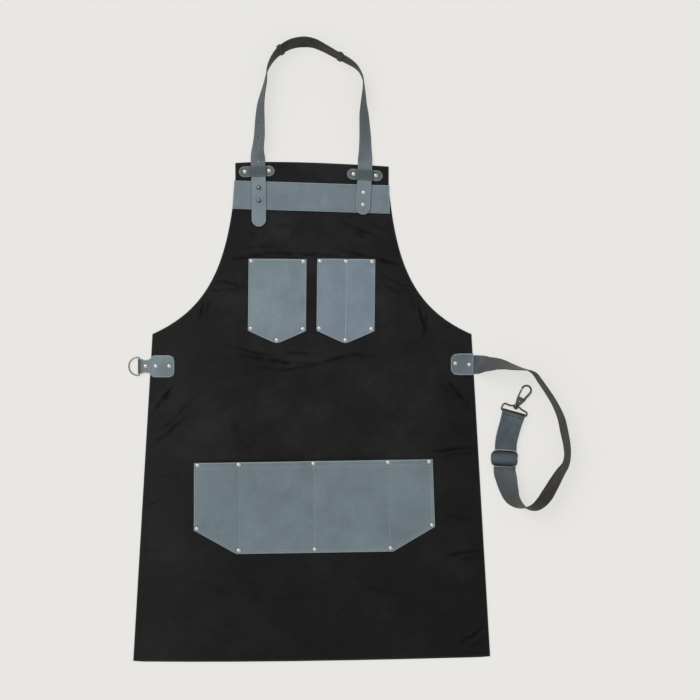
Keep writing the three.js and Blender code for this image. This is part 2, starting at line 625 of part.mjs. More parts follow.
function hookEye() {
  const outline = roundedShape([
    [-22, 0, 2.5], [22, 0, 2.5], [22.4, 4.5, 1.5], [20, 7.4, 2], [12.3, 8.8, 4], [5, 12.9, 3],
    [-3, 12.6, 3], [-9.8, 10.6, 3], [-18.5, 12.6, 3], [-22.4, 8, 3],
  ]);
  const place = (geometry) => (
    geometry.rotateZ(THREE.MathUtils.degToRad(LEAN)).translate(knob.x, knob.y, 0)
  );
  const collar = solid(place(turnedRod(3.3, -1.6, 1.6)));
  const bore = solid(place(turnedRod(BORE_RADIUS, -12, 12)));
  const seats = solid(place(turnedRod(4.4, 1.6, 6))).add(solid(place(turnedRod(4.4, -6, -1.6))));
  return solid(closedWire(outline, WIRE / 2, 48, 6)).subtract(seats).add(collar).subtract(bore);
}
addMesh('hook_eye', geometryOf(hookEye()), gunmetal, eyeGroup);

const HOOK_WIRE = 1.5;
const CHEEK = 2.6; // half the thickness of the hook's forked body
const pivot = new THREE.Vector2(1.8, 9.5);

function hookBody() {
  const head = new THREE.LatheGeometry([
    [0, -5.4], [2.4, -5], [4, -3.4], [4, -1.9], [STEM_RADIUS, -1.9], [STEM_RADIUS, 2.5], [0, 2.5],
  ].map(([radius, along]) => new THREE.Vector2(radius, along)), 10);
  const fork = slab(roundedShape([
    [-3.2, 1.9, 1], [3.8, 1.9, 1], [9.3, 17.2, 1.5], [-6.2, 17.2, 1.5],
  ]), -CHEEK, CHEEK, 2);
  const bow = new THREE.CatmullRomCurve3([
    [6.8, 14.5], [8.6, 22], [10.8, 29], [11.2, 34], [8.6, 38.6], [4, 40.6], [-0.6, 39.4],
    [-3.9, 36.2], [-5, 32.4],
  ].map(([x, y]) => new THREE.Vector3(x, y, 0)));
  const slot = block(-12, 6, -1.2, 5, 18, 1.2);
  return solid(fork).subtract(slot).add(solid(head)).add(solid(wire(bow, HOOK_WIRE, 16)))
    .subtract(drill(pivot.x, pivot.y));
}
addMesh('hook_body', geometryOf(hookBody()), gunmetal, hookGroup);

function hookGate() {
  const plan = roundedShape([
    [4.3, 9.5, 1.4], [1.5, 12.2, 1.5], [-3.2, 14.5, 1.5], [-3.9, 31.2, 0.3], [-6.1, 30.9, 0.3],
    [-5.6, 13, 1.5], [-1.2, 7, 1.5], [3, 6.7, 1.4],
  ]);
  return solid(slab(plan, -0.9, 0.9, 2)).subtract(drill(pivot.x, pivot.y));
}
addMesh('hook_gate', geometryOf(hookGate()), gunmetal, hookGroup);

const pivotPin = new THREE.LatheGeometry([
  [0, -CHEEK - 0.9], [2, -CHEEK - 0.2], [POST_RADIUS, -CHEEK - 0.2],
  [POST_RADIUS, CHEEK + 0.2], [2.1, CHEEK + 0.2], [1.6, CHEEK + 0.9], [0, CHEEK + 1.1],
].map(([radius, height]) => new THREE.Vector2(radius, height)), 10).rotateX(Math.PI / 2);
addMesh('hook_pivot_pin', pivotPin, nickel, hookGroup).position.set(pivot.x, pivot.y, 0);

// ---------------------------------------------------------------- canvas body

// The canvas's outline, drawn in by inset for the inner edge of the hem.
function canvasShape(inset) {
  const shape = new THREE.Shape();
  const side = SIDE_HALF - inset;
  shape.moveTo(inset - BOTTOM_HALF - 1, inset - 3);
  shape.quadraticCurveTo(-60, inset - 6, BOTTOM_HALF - inset, inset + 5);
  shape.lineTo(side, SIDE_CORNER - inset);
  shape.bezierCurveTo(175 - inset, 610 - inset, 146 - inset, 690, BIB_HALF - inset, 825);
  shape.lineTo(BIB_HALF - 1 - inset, BIB_TOP - 3 - inset);
  shape.quadraticCurveTo(-60, BIB_TOP + 9 - inset, inset - BIB_HALF - 0.5, BIB_TOP + 3 - inset);
  shape.lineTo(inset - BIB_HALF - 1, 825);
  shape.bezierCurveTo(inset - 147, 690, inset - 177, 610 - inset, -side, SIDE_CORNER - inset);
  shape.closePath();
  return shape;
}

function canvasBody() {
  const sheet = solid(slab(canvasShape(0), 0, FRONT, 14));
  const inside = solid(slab(canvasShape(HEM_WIDTH), -1, HEM, 14));
  const caps = canvasHoles.map(([x, y]) => {
    const recess = new THREE.CylinderGeometry(4.2, 4.2, HEM + 1, 6);
    return solid(recess.rotateX(Math.PI / 2).translate(x, y, (HEM - 1) / 2));
  });
  const hemmed = drilled(sheet.subtract(inside), canvasHoles, STUD_HOLE);
  return caps.reduce((rest, recess) => rest.subtract(recess), hemmed);
}
addMesh('canvas_body', geometryOf(canvasBody()), canvasBlack);

export default apron;
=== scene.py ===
"""The looks of a canvas bib apron with leather trim, lying flat on its back on a pale floor.

Everything is in metres: +X to the viewer's right, +Y up the apron, +Z out of its front face.
"""

import json
import math

import bmesh
import bpy
import numpy as np
from mathutils import Matrix, Vector, noise
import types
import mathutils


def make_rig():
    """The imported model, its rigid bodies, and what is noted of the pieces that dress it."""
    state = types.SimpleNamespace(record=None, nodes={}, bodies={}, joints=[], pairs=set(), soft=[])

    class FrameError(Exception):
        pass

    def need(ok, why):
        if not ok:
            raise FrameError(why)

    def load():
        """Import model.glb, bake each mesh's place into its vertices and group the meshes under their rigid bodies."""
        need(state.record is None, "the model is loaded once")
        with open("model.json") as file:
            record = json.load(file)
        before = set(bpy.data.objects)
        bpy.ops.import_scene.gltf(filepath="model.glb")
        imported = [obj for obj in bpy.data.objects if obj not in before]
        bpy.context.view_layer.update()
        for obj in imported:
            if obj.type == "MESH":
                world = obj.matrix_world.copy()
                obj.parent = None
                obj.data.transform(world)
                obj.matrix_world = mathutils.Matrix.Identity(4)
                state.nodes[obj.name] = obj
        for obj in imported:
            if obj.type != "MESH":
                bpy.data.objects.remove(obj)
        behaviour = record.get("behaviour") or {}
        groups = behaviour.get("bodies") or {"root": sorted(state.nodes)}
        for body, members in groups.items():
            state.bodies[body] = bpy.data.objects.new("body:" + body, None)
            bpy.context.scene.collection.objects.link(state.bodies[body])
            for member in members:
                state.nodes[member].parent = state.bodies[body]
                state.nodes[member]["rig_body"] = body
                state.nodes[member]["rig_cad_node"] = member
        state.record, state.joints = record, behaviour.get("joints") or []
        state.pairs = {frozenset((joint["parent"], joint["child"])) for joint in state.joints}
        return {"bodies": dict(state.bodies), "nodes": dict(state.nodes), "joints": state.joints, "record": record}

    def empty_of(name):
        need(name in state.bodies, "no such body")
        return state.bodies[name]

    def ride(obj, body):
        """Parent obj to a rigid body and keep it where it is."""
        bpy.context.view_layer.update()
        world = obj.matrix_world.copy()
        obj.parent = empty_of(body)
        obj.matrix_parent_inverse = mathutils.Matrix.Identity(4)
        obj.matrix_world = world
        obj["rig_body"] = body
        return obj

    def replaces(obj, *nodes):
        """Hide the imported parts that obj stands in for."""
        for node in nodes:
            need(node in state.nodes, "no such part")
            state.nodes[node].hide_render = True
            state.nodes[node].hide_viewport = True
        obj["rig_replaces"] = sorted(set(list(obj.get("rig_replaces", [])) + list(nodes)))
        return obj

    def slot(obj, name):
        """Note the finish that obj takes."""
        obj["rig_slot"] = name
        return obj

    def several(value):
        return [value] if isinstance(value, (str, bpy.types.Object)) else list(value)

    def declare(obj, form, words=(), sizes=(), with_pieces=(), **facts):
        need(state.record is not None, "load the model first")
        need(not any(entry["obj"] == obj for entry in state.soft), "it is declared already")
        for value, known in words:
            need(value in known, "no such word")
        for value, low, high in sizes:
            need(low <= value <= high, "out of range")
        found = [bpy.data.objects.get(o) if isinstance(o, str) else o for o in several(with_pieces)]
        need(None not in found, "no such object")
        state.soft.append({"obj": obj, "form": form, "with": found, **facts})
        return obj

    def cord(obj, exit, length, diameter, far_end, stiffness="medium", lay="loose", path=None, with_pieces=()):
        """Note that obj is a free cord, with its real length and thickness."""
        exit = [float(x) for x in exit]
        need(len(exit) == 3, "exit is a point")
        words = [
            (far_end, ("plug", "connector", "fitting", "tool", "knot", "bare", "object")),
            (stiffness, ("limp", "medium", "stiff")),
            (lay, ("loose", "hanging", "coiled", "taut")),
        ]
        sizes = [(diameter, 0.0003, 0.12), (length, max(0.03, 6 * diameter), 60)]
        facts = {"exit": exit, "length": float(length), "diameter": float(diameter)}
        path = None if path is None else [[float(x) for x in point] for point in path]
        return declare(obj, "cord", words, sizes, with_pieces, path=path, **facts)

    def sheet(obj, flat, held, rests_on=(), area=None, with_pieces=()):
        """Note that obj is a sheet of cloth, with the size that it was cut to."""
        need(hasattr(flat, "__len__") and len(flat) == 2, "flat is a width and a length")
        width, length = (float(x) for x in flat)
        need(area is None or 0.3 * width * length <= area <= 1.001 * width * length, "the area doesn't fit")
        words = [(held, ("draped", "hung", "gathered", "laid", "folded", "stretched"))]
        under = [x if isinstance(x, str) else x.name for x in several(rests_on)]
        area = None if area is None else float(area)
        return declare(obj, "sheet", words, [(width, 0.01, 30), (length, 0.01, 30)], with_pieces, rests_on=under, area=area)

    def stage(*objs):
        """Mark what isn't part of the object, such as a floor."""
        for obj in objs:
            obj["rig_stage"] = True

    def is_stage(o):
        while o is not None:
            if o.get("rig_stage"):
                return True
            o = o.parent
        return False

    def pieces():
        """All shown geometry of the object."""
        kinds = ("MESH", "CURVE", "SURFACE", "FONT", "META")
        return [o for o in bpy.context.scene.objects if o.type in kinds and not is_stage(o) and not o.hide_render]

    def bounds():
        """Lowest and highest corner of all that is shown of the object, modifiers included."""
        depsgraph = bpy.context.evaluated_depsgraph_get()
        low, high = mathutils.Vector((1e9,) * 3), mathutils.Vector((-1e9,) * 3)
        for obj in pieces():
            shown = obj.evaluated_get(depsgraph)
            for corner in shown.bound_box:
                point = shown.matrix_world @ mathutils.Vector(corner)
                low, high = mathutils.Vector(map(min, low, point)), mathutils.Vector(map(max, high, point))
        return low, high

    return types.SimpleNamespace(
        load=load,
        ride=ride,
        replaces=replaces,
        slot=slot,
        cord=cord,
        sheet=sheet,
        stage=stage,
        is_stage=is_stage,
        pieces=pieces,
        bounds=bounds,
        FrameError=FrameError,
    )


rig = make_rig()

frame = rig.load()
cad_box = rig.bounds()

# Layers, from the table upwards
HEM = 0.0012
CANVAS = 0.0009
FRONT = HEM + CANVAS  # the canvas's front face
GAP = 0.0002
LEATHER = 0.0014
TRIM = FRONT + GAP  # back face of leather on the canvas
TRIM_TOP = TRIM + LEATHER
NECK_THICK = 0.0020
NECK_WIDTH = 0.0254
NECK_LEVEL = TRIM_TOP + GAP + NECK_THICK / 2
ON_STRAP = NECK_LEVEL + NECK_THICK / 2 + GAP  # a rivet's seat on the neck strap
WAIST_WIDTH = 0.0381
WAIST_THICK = 0.0018
WAIST_LOW = TRIM + WAIST_THICK / 2
UNDER_STRAP = 0.0061
WAIST_HIGH = UNDER_STRAP + WAIST_THICK / 2

# ------------------------------------------------------------------ camera, light and floor

VIEW_WIDTH = 1.218
VIEW_MIDDLE = (0.0661, 0.5377)
LENS = 85
SENSOR = 36


def make_camera():
    """Straight above the apron, with its picture as wide as VIEW_WIDTH on the floor."""
    camera = bpy.data.cameras.new("camera")
    camera.lens = LENS
    camera.sensor_width = SENSOR
    holder = bpy.data.objects.new("camera", camera)
    holder.location = (*VIEW_MIDDLE, VIEW_WIDTH * LENS / SENSOR)
    bpy.context.scene.collection.objects.link(holder)
    bpy.context.scene.camera = holder


def make_light(name, direction, strength, spread):
    """A wide soft light from far off that shines in the direction, the same all over the floor."""
    lamp = bpy.data.lights.new(name, "SUN")
    lamp.energy = strength
    lamp.angle = math.radians(spread)
    holder = bpy.data.objects.new(name, lamp)
    holder.rotation_euler = Vector(direction).to_track_quat("-Z", "Y").to_euler()
    bpy.context.scene.collection.objects.link(holder)


def make_world():
    """An even pale sky that is brightest overhead, so that metal has something to mirror."""
    world = bpy.data.worlds.new("studio")
    world.use_nodes = True
    nodes = world.node_tree.nodes
    links = world.node_tree.links
    background = nodes["Background"]
    place = nodes.new("ShaderNodeTexCoord")
    split = nodes.new("ShaderNodeSeparateXYZ")
    ramp = nodes.new("ShaderNodeValToRGB")
    low, high = ramp.color_ramp.elements
    low.color = (0.80, 0.79, 0.76, 1)
    high.color = (0.86, 0.86, 0.855, 1)
    links.new(place.outputs["Generated"], split.inputs[0])
    links.new(split.outputs["Z"], ramp.inputs["Fac"])
    links.new(ramp.outputs["Color"], background.inputs["Color"])
    background.inputs["Strength"].default_value = 0.84
    bpy.context.scene.world = world


# ------------------------------------------------------------------ materials

def tint(code):
    """A colour written as #rrggbb, as linear light."""
    channels = [int(code[i:i + 2], 16) / 255 for i in (1, 3, 5)]
    linear = [c / 12.92 if c <= 0.04045 else ((c + 0.055) / 1.055) ** 2.4 for c in channels]
    return (*linear, 1)


class Finish:
    """A material's node tree, with short ways to add nodes and join them."""

    def __init__(self, name, **values):
        self.material = bpy.data.materials.new(name)
        self.material.use_nodes = True
        self.tree = self.material.node_tree
        self.shader = self.tree.nodes["Principled BSDF"]
        self.place = self.add("ShaderNodeTexCoord").outputs["Object"]
        for socket, value in values.items():
            self.feed(self.shader, socket.replace("_", " "), value)

    def feed(self, node, socket, value):
        """Sets a socket to a number or colour, or joins another node's output to it."""
        if isinstance(value, bpy.types.NodeSocket):
            self.tree.links.new(value, node.inputs[socket])
        else:
            node.inputs[socket].default_value = value

    def add(self, kind, sockets=(), **settings):
        """A new node with its settings, and with its sockets fed."""
        node = self.tree.nodes.new(kind)
        for key, value in settings.items():
            setattr(node, key, value)
        for socket, value in dict(sockets).items():
            self.feed(node, socket, value)
        return node

    def stretched(self, x, y, z):
        """The place, scaled by different amounts along each axis."""
        return self.add("ShaderNodeMapping", {"Scale": (x, y, z), "Vector": self.place}).outputs["Vector"]

    def noise(self, scale, detail, roughness, place=None, distortion=0):
        sockets = {"Vector": place or self.place, "Scale": scale, "Detail": detail}
        sockets |= {"Roughness": roughness, "Distortion": distortion}
        return self.add("ShaderNodeTexNoise", sockets).outputs["Fac"]

    def cells(self, scale):
        """How far each point is from the border of its cell."""
        sockets = {"Vector": self.place, "Scale": scale}
        return self.add("ShaderNodeTexVoronoi", sockets, feature="DISTANCE_TO_EDGE").outputs["Distance"]

    def attribute(self, name):
        """A number that the mesh code gave to each point."""
        return self.add("ShaderNodeAttribute", attribute_name=name).outputs["Fac"]

    def ramp(self, value, stops):
        """A colour for each value, from pairs of a value and a #rrggbb colour."""
        node = self.add("ShaderNodeValToRGB", {"Fac": value})
        elements = node.color_ramp.elements
        while len(elements) < len(stops):
            elements.new(0.5)
        for element, (position, code) in zip(elements, stops):
            element.position = position
            element.color = tint(code)
        return node.outputs["Color"]

    def between(self, value, low, high, start=0.0, end=1.0):
        """Start below low, end above high, and a straight change between them."""
        sockets = {"Value": value, "From Min": low, "From Max": high, "To Min": start, "To Max": end}
        return self.add("ShaderNodeMapRange", sockets).outputs["Result"]

    def maths(self, operation, first, second):
        return self.add("ShaderNodeMath", {0: first, 1: second}, operation=operation).outputs[0]

    def mixed(self, share, first, second):
        """The first colour, with that share of the second."""
        return self.add("ShaderNodeMix", {0: share, 6: first, 7: second}, data_type="RGBA").outputs[2]

    def tinged(self, body, code, value, low, high, start=0.0, end=1.0):
        """The body colour, mixed with another by how high a value is."""
        return self.mixed(self.between(value, low, high, start, end), body, tint(code))

    def bump(self, height, distance, strength):
        """Adds to the surface's fine relief."""
        node = self.add("ShaderNodeBump", {"Height": height, "Distance": distance, "Strength": strength})
        normal = self.shader.inputs["Normal"]
        if normal.is_linked:
            self.feed(node, "Normal", normal.links[0].from_socket)
        self.feed(self.shader, "Normal", node.outputs["Normal"])

    def colour(self, source):
        self.feed(self.shader, "Base Color", source)

    def roughness(self, source):
        self.feed(self.shader, "Roughness", source)


def canvas_finish():
    """Black cotton canvas: plain weave, slubs, darker towards the bottom and the right and lighter at the left, pale
    lint on its creases and edges, and painted shade along its creases.
    """
    finish = Finish("black_canvas", Specular_IOR_Level=0.03, Sheen_Weight=0.02, Sheen_Roughness=0.6)
    thread = 0.0009
    split = finish.add("ShaderNodeSeparateXYZ", {0: finish.place})

    def ribs(axis):
        phase = finish.maths("MULTIPLY", split.outputs[axis], math.pi / thread)
        return finish.maths("ABSOLUTE", finish.maths("SINE", phase, 0), 0)

    across, along = ribs("X"), ribs("Y")
    checks = finish.add("ShaderNodeTexChecker", {"Scale": 1 / thread, "Vector": finish.place})
    weave = finish.mixed(checks.outputs["Fac"], across, along)
    clouds = finish.noise(9, 7, 0.68)
    lint = finish.noise(420, 6, 0.75)
    slub = finish.noise(60, 3, 0.5, finish.stretched(1, 14, 1))
    body = finish.ramp(clouds, [(0.30, "#19191a"), (0.50, "#202021"), (0.70, "#2a2a2b")])
    # darker towards the bottom and the right, lighter at the left
    body = finish.tinged(body, "#131314", split.outputs["Y"], 0.10, 0.36, 0.45, 0)
    body = finish.tinged(body, "#131314", split.outputs["X"], 0.12, 0.27, 0, 0.32)
    body = finish.tinged(body, "#303031", split.outputs["X"], -0.28, -0.10, 0.25, 0)
    body = finish.tinged(body, "#353536", lint, 0.5, 0.8, 0, 0.35)
    body = finish.tinged(body, "#2f2f30", slub, 0.55, 0.75, 0, 0.25)
    worn = finish.maths("MULTIPLY", finish.attribute("edge"), finish.between(lint, 0.35, 0.7))
    # painted shade: near black on the creases' shaded sides and along the lower pocket's mouth
    body = finish.mixed(finish.maths("MULTIPLY", finish.attribute("crease_shade"), 0.9), body, tint("#070707"))
    finish.colour(finish.mixed(worn, body, tint("#454545")))
    finish.roughness(finish.between(lint, 0.3, 0.8, 0.98, 0.86))
    finish.bump(weave, 0.00012, 0.35)
    finish.bump(lint, 0.0002, 0.2)
    return finish.material


def leather_finish(name, deep, main, pale, rim, scuff=0.35, fade=None):
    """Waxed pull-up leather: cloudy colour, scuffs, pores, fine creases and paler cut edges.

    Where the mesh's painted shade attribute is 1, the leather takes the colour fade, the colour of that painted shade;
    above 1 the painted shade deepens to nearly black."""
    finish = Finish(name, Specular_IOR_Level=0.28, Coat_Weight=0.02)
    clouds = finish.noise(16, 7, 0.62, distortion=0.4)
    fine = finish.noise(160, 8, 0.7)
    streak = finish.noise(45, 6, 0.65, finish.stretched(1, 0.35, 1), distortion=1.2)
    pores = finish.cells(1100)
    body = finish.ramp(clouds, [(0.28, deep), (0.5, main), (0.74, pale)])
    body = finish.tinged(body, pale, streak, 0.52, 0.72, 0, scuff)
    body = finish.tinged(body, deep, fine, 0.35, 0.6, 0.30, 0)
    # painted shade: the leather darkens to fade where the mesh asks for shade, and towards black above 1
    if fade:
        uneven = finish.maths("MULTIPLY", finish.attribute("painted_shade"), finish.between(fine, 0.2, 0.5, 0.75, 1.0))
        body = finish.mixed(uneven, body, tint(fade))
        body = finish.tinged(body, "#121315", finish.attribute("painted_shade"), 1, 2, 0, 0.8)
    worn = finish.maths("MULTIPLY", finish.attribute("edge"), finish.between(fine, 0.2, 0.65, 0.35, 0.85))
    if fade:
        worn = finish.maths("MULTIPLY", worn, finish.between(finish.attribute("painted_shade"), 0, 1, 1, 0.2))
    finish.colour(finish.mixed(worn, body, tint(rim)))
    finish.roughness(finish.between(fine, 0.3, 0.7, 0.70, 0.50))
    finish.bump(pores, 0.00015, 0.35)
    finish.bump(fine, 0.0004, 0.25)
    finish.bump(streak, 0.0010, 0.12)
    return finish.material


def suede_finish(name, deep, pale):
    """The raw back of a strap: fuzzy, matt and nearly black."""
    finish = Finish(name, Specular_IOR_Level=0.1, Sheen_Weight=0.12, Sheen_Roughness=0.5)
    nap = finish.noise(900, 6, 0.75)
    clouds = finish.noise(35, 5, 0.65)
    body = finish.ramp(clouds, [(0.3, deep), (0.7, pale)])
    finish.colour(finish.tinged(body, pale, nap, 0.4, 0.75, 0, 0.5))
    finish.roughness(finish.between(nap, 0.3, 0.7, 0.98, 0.85))
    finish.bump(nap, 0.0003, 0.6)
    return finish.material


def metal_finish(name, base, worn, dark, roughness, amount):
    """Plated metal: worn brighter in places and, where the mesh's edge attribute asks, a painted highlight in the worn
    colour, with grime and hairline scratches.
    """
    finish = Finish(name, Metallic=1.0, Specular_IOR_Level=0.5)
    patches = finish.noise(420, 6, 0.7)
    hair = finish.noise(900, 4, 0.6, finish.stretched(1, 9, 1))
    wear_and_highlight = finish.maths("MAXIMUM", finish.attribute("edge"), finish.between(patches, 0.56, 0.72, 0, amount))
    body = finish.mixed(finish.between(hair, 0.3, 0.55, 0.5, 0), tint(base), tint(dark))
    finish.colour(finish.mixed(wear_and_highlight, body, tint(worn)))
    finish.roughness(finish.between(patches, 0.3, 0.7, roughness + 0.1, roughness - 0.06))
    finish.bump(hair, 0.00008, 0.25)
    return finish.material


def thread_finish(name, colour, shade):
    """Waxed sewing thread with a slow twist."""
    finish = Finish(name, Specular_IOR_Level=0.25)
    ply = finish.noise(2500, 3, 0.6)
    finish.colour(finish.mixed(finish.between(ply, 0.35, 0.65), tint(shade), tint(colour)))
    finish.roughness(finish.between(ply, 0.3, 0.7, 0.8, 0.6))
    finish.bump(ply, 0.0001, 0.4)
    return finish.material


def floor_finish():
    """A lit white table, whose own glow keeps the shadows on it faint."""
    finish = Finish("floor", Specular_IOR_Level=0.0, Roughness=1.0, Emission_Strength=0.80,
                    Emission_Color=tint("#e8e7e3"))
    finish.colour(tint("#71706f"))
    return finish.material


make_camera()
make_world()
make_light("upper_left", (0.55, -0.60, -0.80), 1.25, 38)

BLACK_CANVAS = canvas_finish()
GREY_LEATHER = leather_finish("grey_leather", "#69777e", "#74828a", "#808e95", "#939fa3")
PEN_LEATHER = leather_finish("pen_leather", "#6a7781", "#75828f", "#818e9b", "#949fa7")
LAP_LEATHER = leather_finish("lap_leather", "#606d73", "#69777d", "#738188", "#8f9ba0", scuff=0.28)
BAND_LEATHER = leather_finish("band_leather", "#647178", "#6d7a82", "#7a878f", "#939fa4", scuff=0.2)
# fade, where given, is the colour of the leather's painted shade
TAB_LEATHER = leather_finish("tab_leather", "#606d6e", "#6e7c80", "#839096", "#a2adb1", scuff=0.25,
                             fade="#3f4346")
PATCH_LEATHER = leather_finish("patch_leather", "#545f66", "#646f77", "#7a858c", "#9ca7ab", scuff=0.3)
KEEPER_LEATHER = leather_finish("keeper_leather", "#4c5556", "#576162", "#687273", "#8d9798", scuff=0.2,
                                fade="#454e52")
STRAP_LEATHER = leather_finish("strap_leather", "#66737b", "#727f87", "#7f8c94", "#8f9a9f", scuff=0.25,
                               fade="#404443")
LOOP_LEATHER = leather_finish("loop_leather", "#252624", "#2d2e2b", "#363632", "#3c3b38")
WAIST_LEATHER = leather_finish("waist_leather", "#363e45", "#465059", "#5a6670", "#5f6970", fade="#474642")
ROLL_LEATHER = leather_finish("roll_leather", "#3f494f", "#48545c", "#56636c", "#58625f", fade="#16191a")
CUT_EDGE = leather_finish("cut_edge", "#3c4246", "#4a5156", "#5b6368", "#666e73", fade="#353431")
RAW_BACK = suede_finish("raw_back", "#242423", "#454340")
WAIST_BACK = suede_finish("waist_back", "#1d1d1c", "#373533")
# nearly black walls for the punched holes, a painted shade for the dark inside of each hole
HOLE_SHADE = suede_finish("hole_shade", "#0b0b0b", "#171716")
POCKET_BACK = suede_finish("pocket_back", "#3c4349", "#565f66")
NICKEL = metal_finish("nickel", "#c9c8c4", "#e4e2dd", "#94928d", 0.36, 0.5)
RING_METAL = metal_finish("ring_metal", "#8f8b84", "#bab6ad", "#5c5954", 0.34, 0.4)
# its pale worn colour is also the painted highlight along the slider's outer edge
GUNMETAL = metal_finish("gunmetal", "#2f2e2b", "#d6d3c8", "#1b1a19", 0.42, 0.2)
HOOK_METAL = metal_finish("hook_metal", "#5a5853", "#9d978a", "#2c2b29", 0.34, 0.35)
STUD_METAL = metal_finish("stud_metal", "#2c2f31", "#a4a8a8", "#1a1b1c", 0.32, 0.1)
PALE_THREAD = thread_finish("pale_thread", "#cdd2cd", "#a9b1ae")
LAP_THREAD = thread_finish("lap_thread", "#a4aeae", "#88938f")
GREY_THREAD = thread_finish("grey_thread", "#8e999c", "#7c8889")
BAND_THREAD = thread_finish("band_thread", "#7c8890", "#6c7880")
BLACK_THREAD = thread_finish("black_thread", "#1d1d1e", "#111112")

# ------------------------------------------------------------------ mesh building


def new_piece(name, points, faces, materials, indices=None, edge=None):
    """A smooth-shaded mesh object. edge is 1 where the surface is a worn or cut edge, or on metal wire where a painted
    highlight lies.
    """
    mesh = bpy.data.meshes.new(name)
    mesh.from_pydata(np.asarray(points).tolist(), [], [list(face) for face in faces])
    for material in materials:
        mesh.materials.append(material)
    mesh.polygons.foreach_set("use_smooth", [True] * len(mesh.polygons))
    if indices is not None:
        mesh.polygons.foreach_set("material_index", np.asarray(indices, np.int32))
    attribute = mesh.attributes.new("edge", "FLOAT", "POINT")
    if edge is not None:
        attribute.data.foreach_set("value", np.asarray(edge, np.float32))
    cleaner = bmesh.new()
    cleaner.from_mesh(mesh)
    bmesh.ops.recalc_face_normals(cleaner, faces=cleaner.faces)
    cleaner.to_mesh(mesh)
    cleaner.free()
    piece = bpy.data.objects.new(name, mesh)
    bpy.context.scene.collection.objects.link(piece)
    return piece


def fitted(piece, slot, *nodes, body="root"):
    """The piece rides on its body, takes its record slot and stands for its CAD nodes."""
    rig.ride(piece, body)
    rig.slot(piece, slot)
    if nodes:
        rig.replaces(piece, *nodes)
    return piece


def quads(ids):
    """Faces between the rows and columns of a grid of point numbers."""
    return np.stack([ids[:-1, :-1], ids[1:, :-1], ids[1:, 1:], ids[:-1, 1:]], -1).reshape(-1, 4)


RIM = np.array([0, 0.00008, 0.0003, 0.00065, 0.0011])  # steps in from a rounded edge
RIM_CELLS = 3


def sheet_points(front, back):
    """A closed sheet's list of points, or of their values: its whole front, then the inside of its back."""
    kept = front.shape[2:]
    return np.concatenate([front.reshape(-1, *kept), back[1:-1, 1:-1].reshape(-1, *kept)])


def painted(piece, name, grid):
    """Gives a closed sheet's points an attribute from a grid of values, the same front and back."""
    values = sheet_points(grid, grid)
    piece.data.attributes.new(name, "FLOAT", "POINT").data.foreach_set("value", values.astype(np.float32))


def unit(vectors):
    """The vectors, each made 1 long."""
    return vectors / np.linalg.norm(vectors, axis=-1, keepdims=True)


def path_marks(points):
    """How far along a path each of its points is."""
    return np.concatenate([[0], np.cumsum(np.linalg.norm(np.diff(points, axis=0), axis=1))])


def at_marks(points, marks, wanted):
    """The places at the wanted distances along a path whose points are at the marks."""
    return np.stack([np.interp(wanted, marks, column) for column in points.T], 1)


def looked_up(x, rows):
    """The value at x, from rows of x and value with straight lines between them."""
    return np.interp(x, *zip(*rows))


def cubic(controls, share):
    """Points of the curve that four control points pull on."""
    weights = [(1 - share) ** 3, 3 * (1 - share) ** 2 * share, 3 * (1 - share) * share ** 2, share ** 3]
    return sum(weight[:, None] * np.array(point) for weight, point in zip(weights, controls))


def placed(points, matrix):
    """The points, moved by the matrix."""
    points = np.asarray(points, float)
    return points @ np.array(matrix.to_3x3()).T + np.array(matrix.translation)


def with_level(points, level):
    """Adds heights to points or to a grid of points."""
    return np.concatenate([points, np.broadcast_to(level, points.shape[:-1])[..., None]], -1)


def spaced(length, step):
    """Distances from 0 to length, close together at both ends, where the edge is rounded."""
    inner = np.linspace(RIM[-1], length - RIM[-1], max(2, round(length / step)))[1:-1]
    return np.concatenate([RIM, inner, (length - RIM)[::-1]])


def with_seams(distances, seams):
    """Adds close steps round each seam's distance, so that its groove has a shape."""
    fine = np.array([-0.0024, -0.0016, -0.0010, -0.0005, 0, 0.0005, 0.0010, 0.0016, 0.0024])
    for seam in seams:
        far = np.abs(distances - seam) > 0.0030
        distances = np.concatenate([distances[far], seam + fine])
    return np.sort(distances)


def inset_grid(across, wide, along, tall, narrowing=1.0):
    """How far in from the nearest edge each point of a sheet is.

    narrowing is each row's share of the full width."""
    from_side = np.minimum(across, wide - across)[None, :] * narrowing
    return np.minimum(from_side, np.minimum(along, tall - along)[:, None])


def rounded(distance, thickness):
    """Half the thickness at a distance in from the edge, so that the edge is round."""
    radius = thickness * 0.5
    inside = 1 - np.clip(distance / radius, 0, 1)
    return radius * np.sqrt(np.clip(1 - inside ** 2, 0, 1))


def closed_sheet(name, front, back, materials, edge=None):
    """A closed sheet whose front and back grids meet along their border.

    materials are for the front, the back and the cut edge."""
    rows, columns = front.shape[:2]
    front_ids = np.arange(rows * columns).reshape(rows, columns)
    back_ids = front_ids.copy()
    inside = back_ids[1:-1, 1:-1]
    inside[:] = rows * columns + np.arange(inside.size).reshape(inside.shape)
    at_rim = np.ones((rows - 1, columns - 1), bool)
    at_rim[RIM_CELLS:-RIM_CELLS, RIM_CELLS:-RIM_CELLS] = False
    faces = np.concatenate([quads(front_ids), quads(back_ids)[:, ::-1]])
    sides = [np.where(at_rim, 2, side).reshape(-1) for side in (0, 1)]
    if edge is None:
        edge = np.zeros((rows, columns))
        edge[:RIM_CELLS + 1] = edge[-RIM_CELLS - 1:] = 1
        edge[:, :RIM_CELLS + 1] = edge[:, -RIM_CELLS - 1:] = 1
    points = sheet_points(front, back)
    return new_piece(name, points, faces, materials, np.concatenate(sides), sheet_points(edge, edge))


def round_angles(sides):
    """Angles at even steps round a circle."""
    return np.linspace(0, 2 * math.pi, sides, endpoint=False)


def tube_ids(rows, columns, closed=False):
    """Point numbers of a grid whose last column meets its first, and whose last row does too if closed."""
    ids = np.arange(rows * columns).reshape(rows, columns)
    ids = np.concatenate([ids, ids[:, :1]], 1)
    return np.concatenate([ids, ids[:1]], 0) if closed else ids


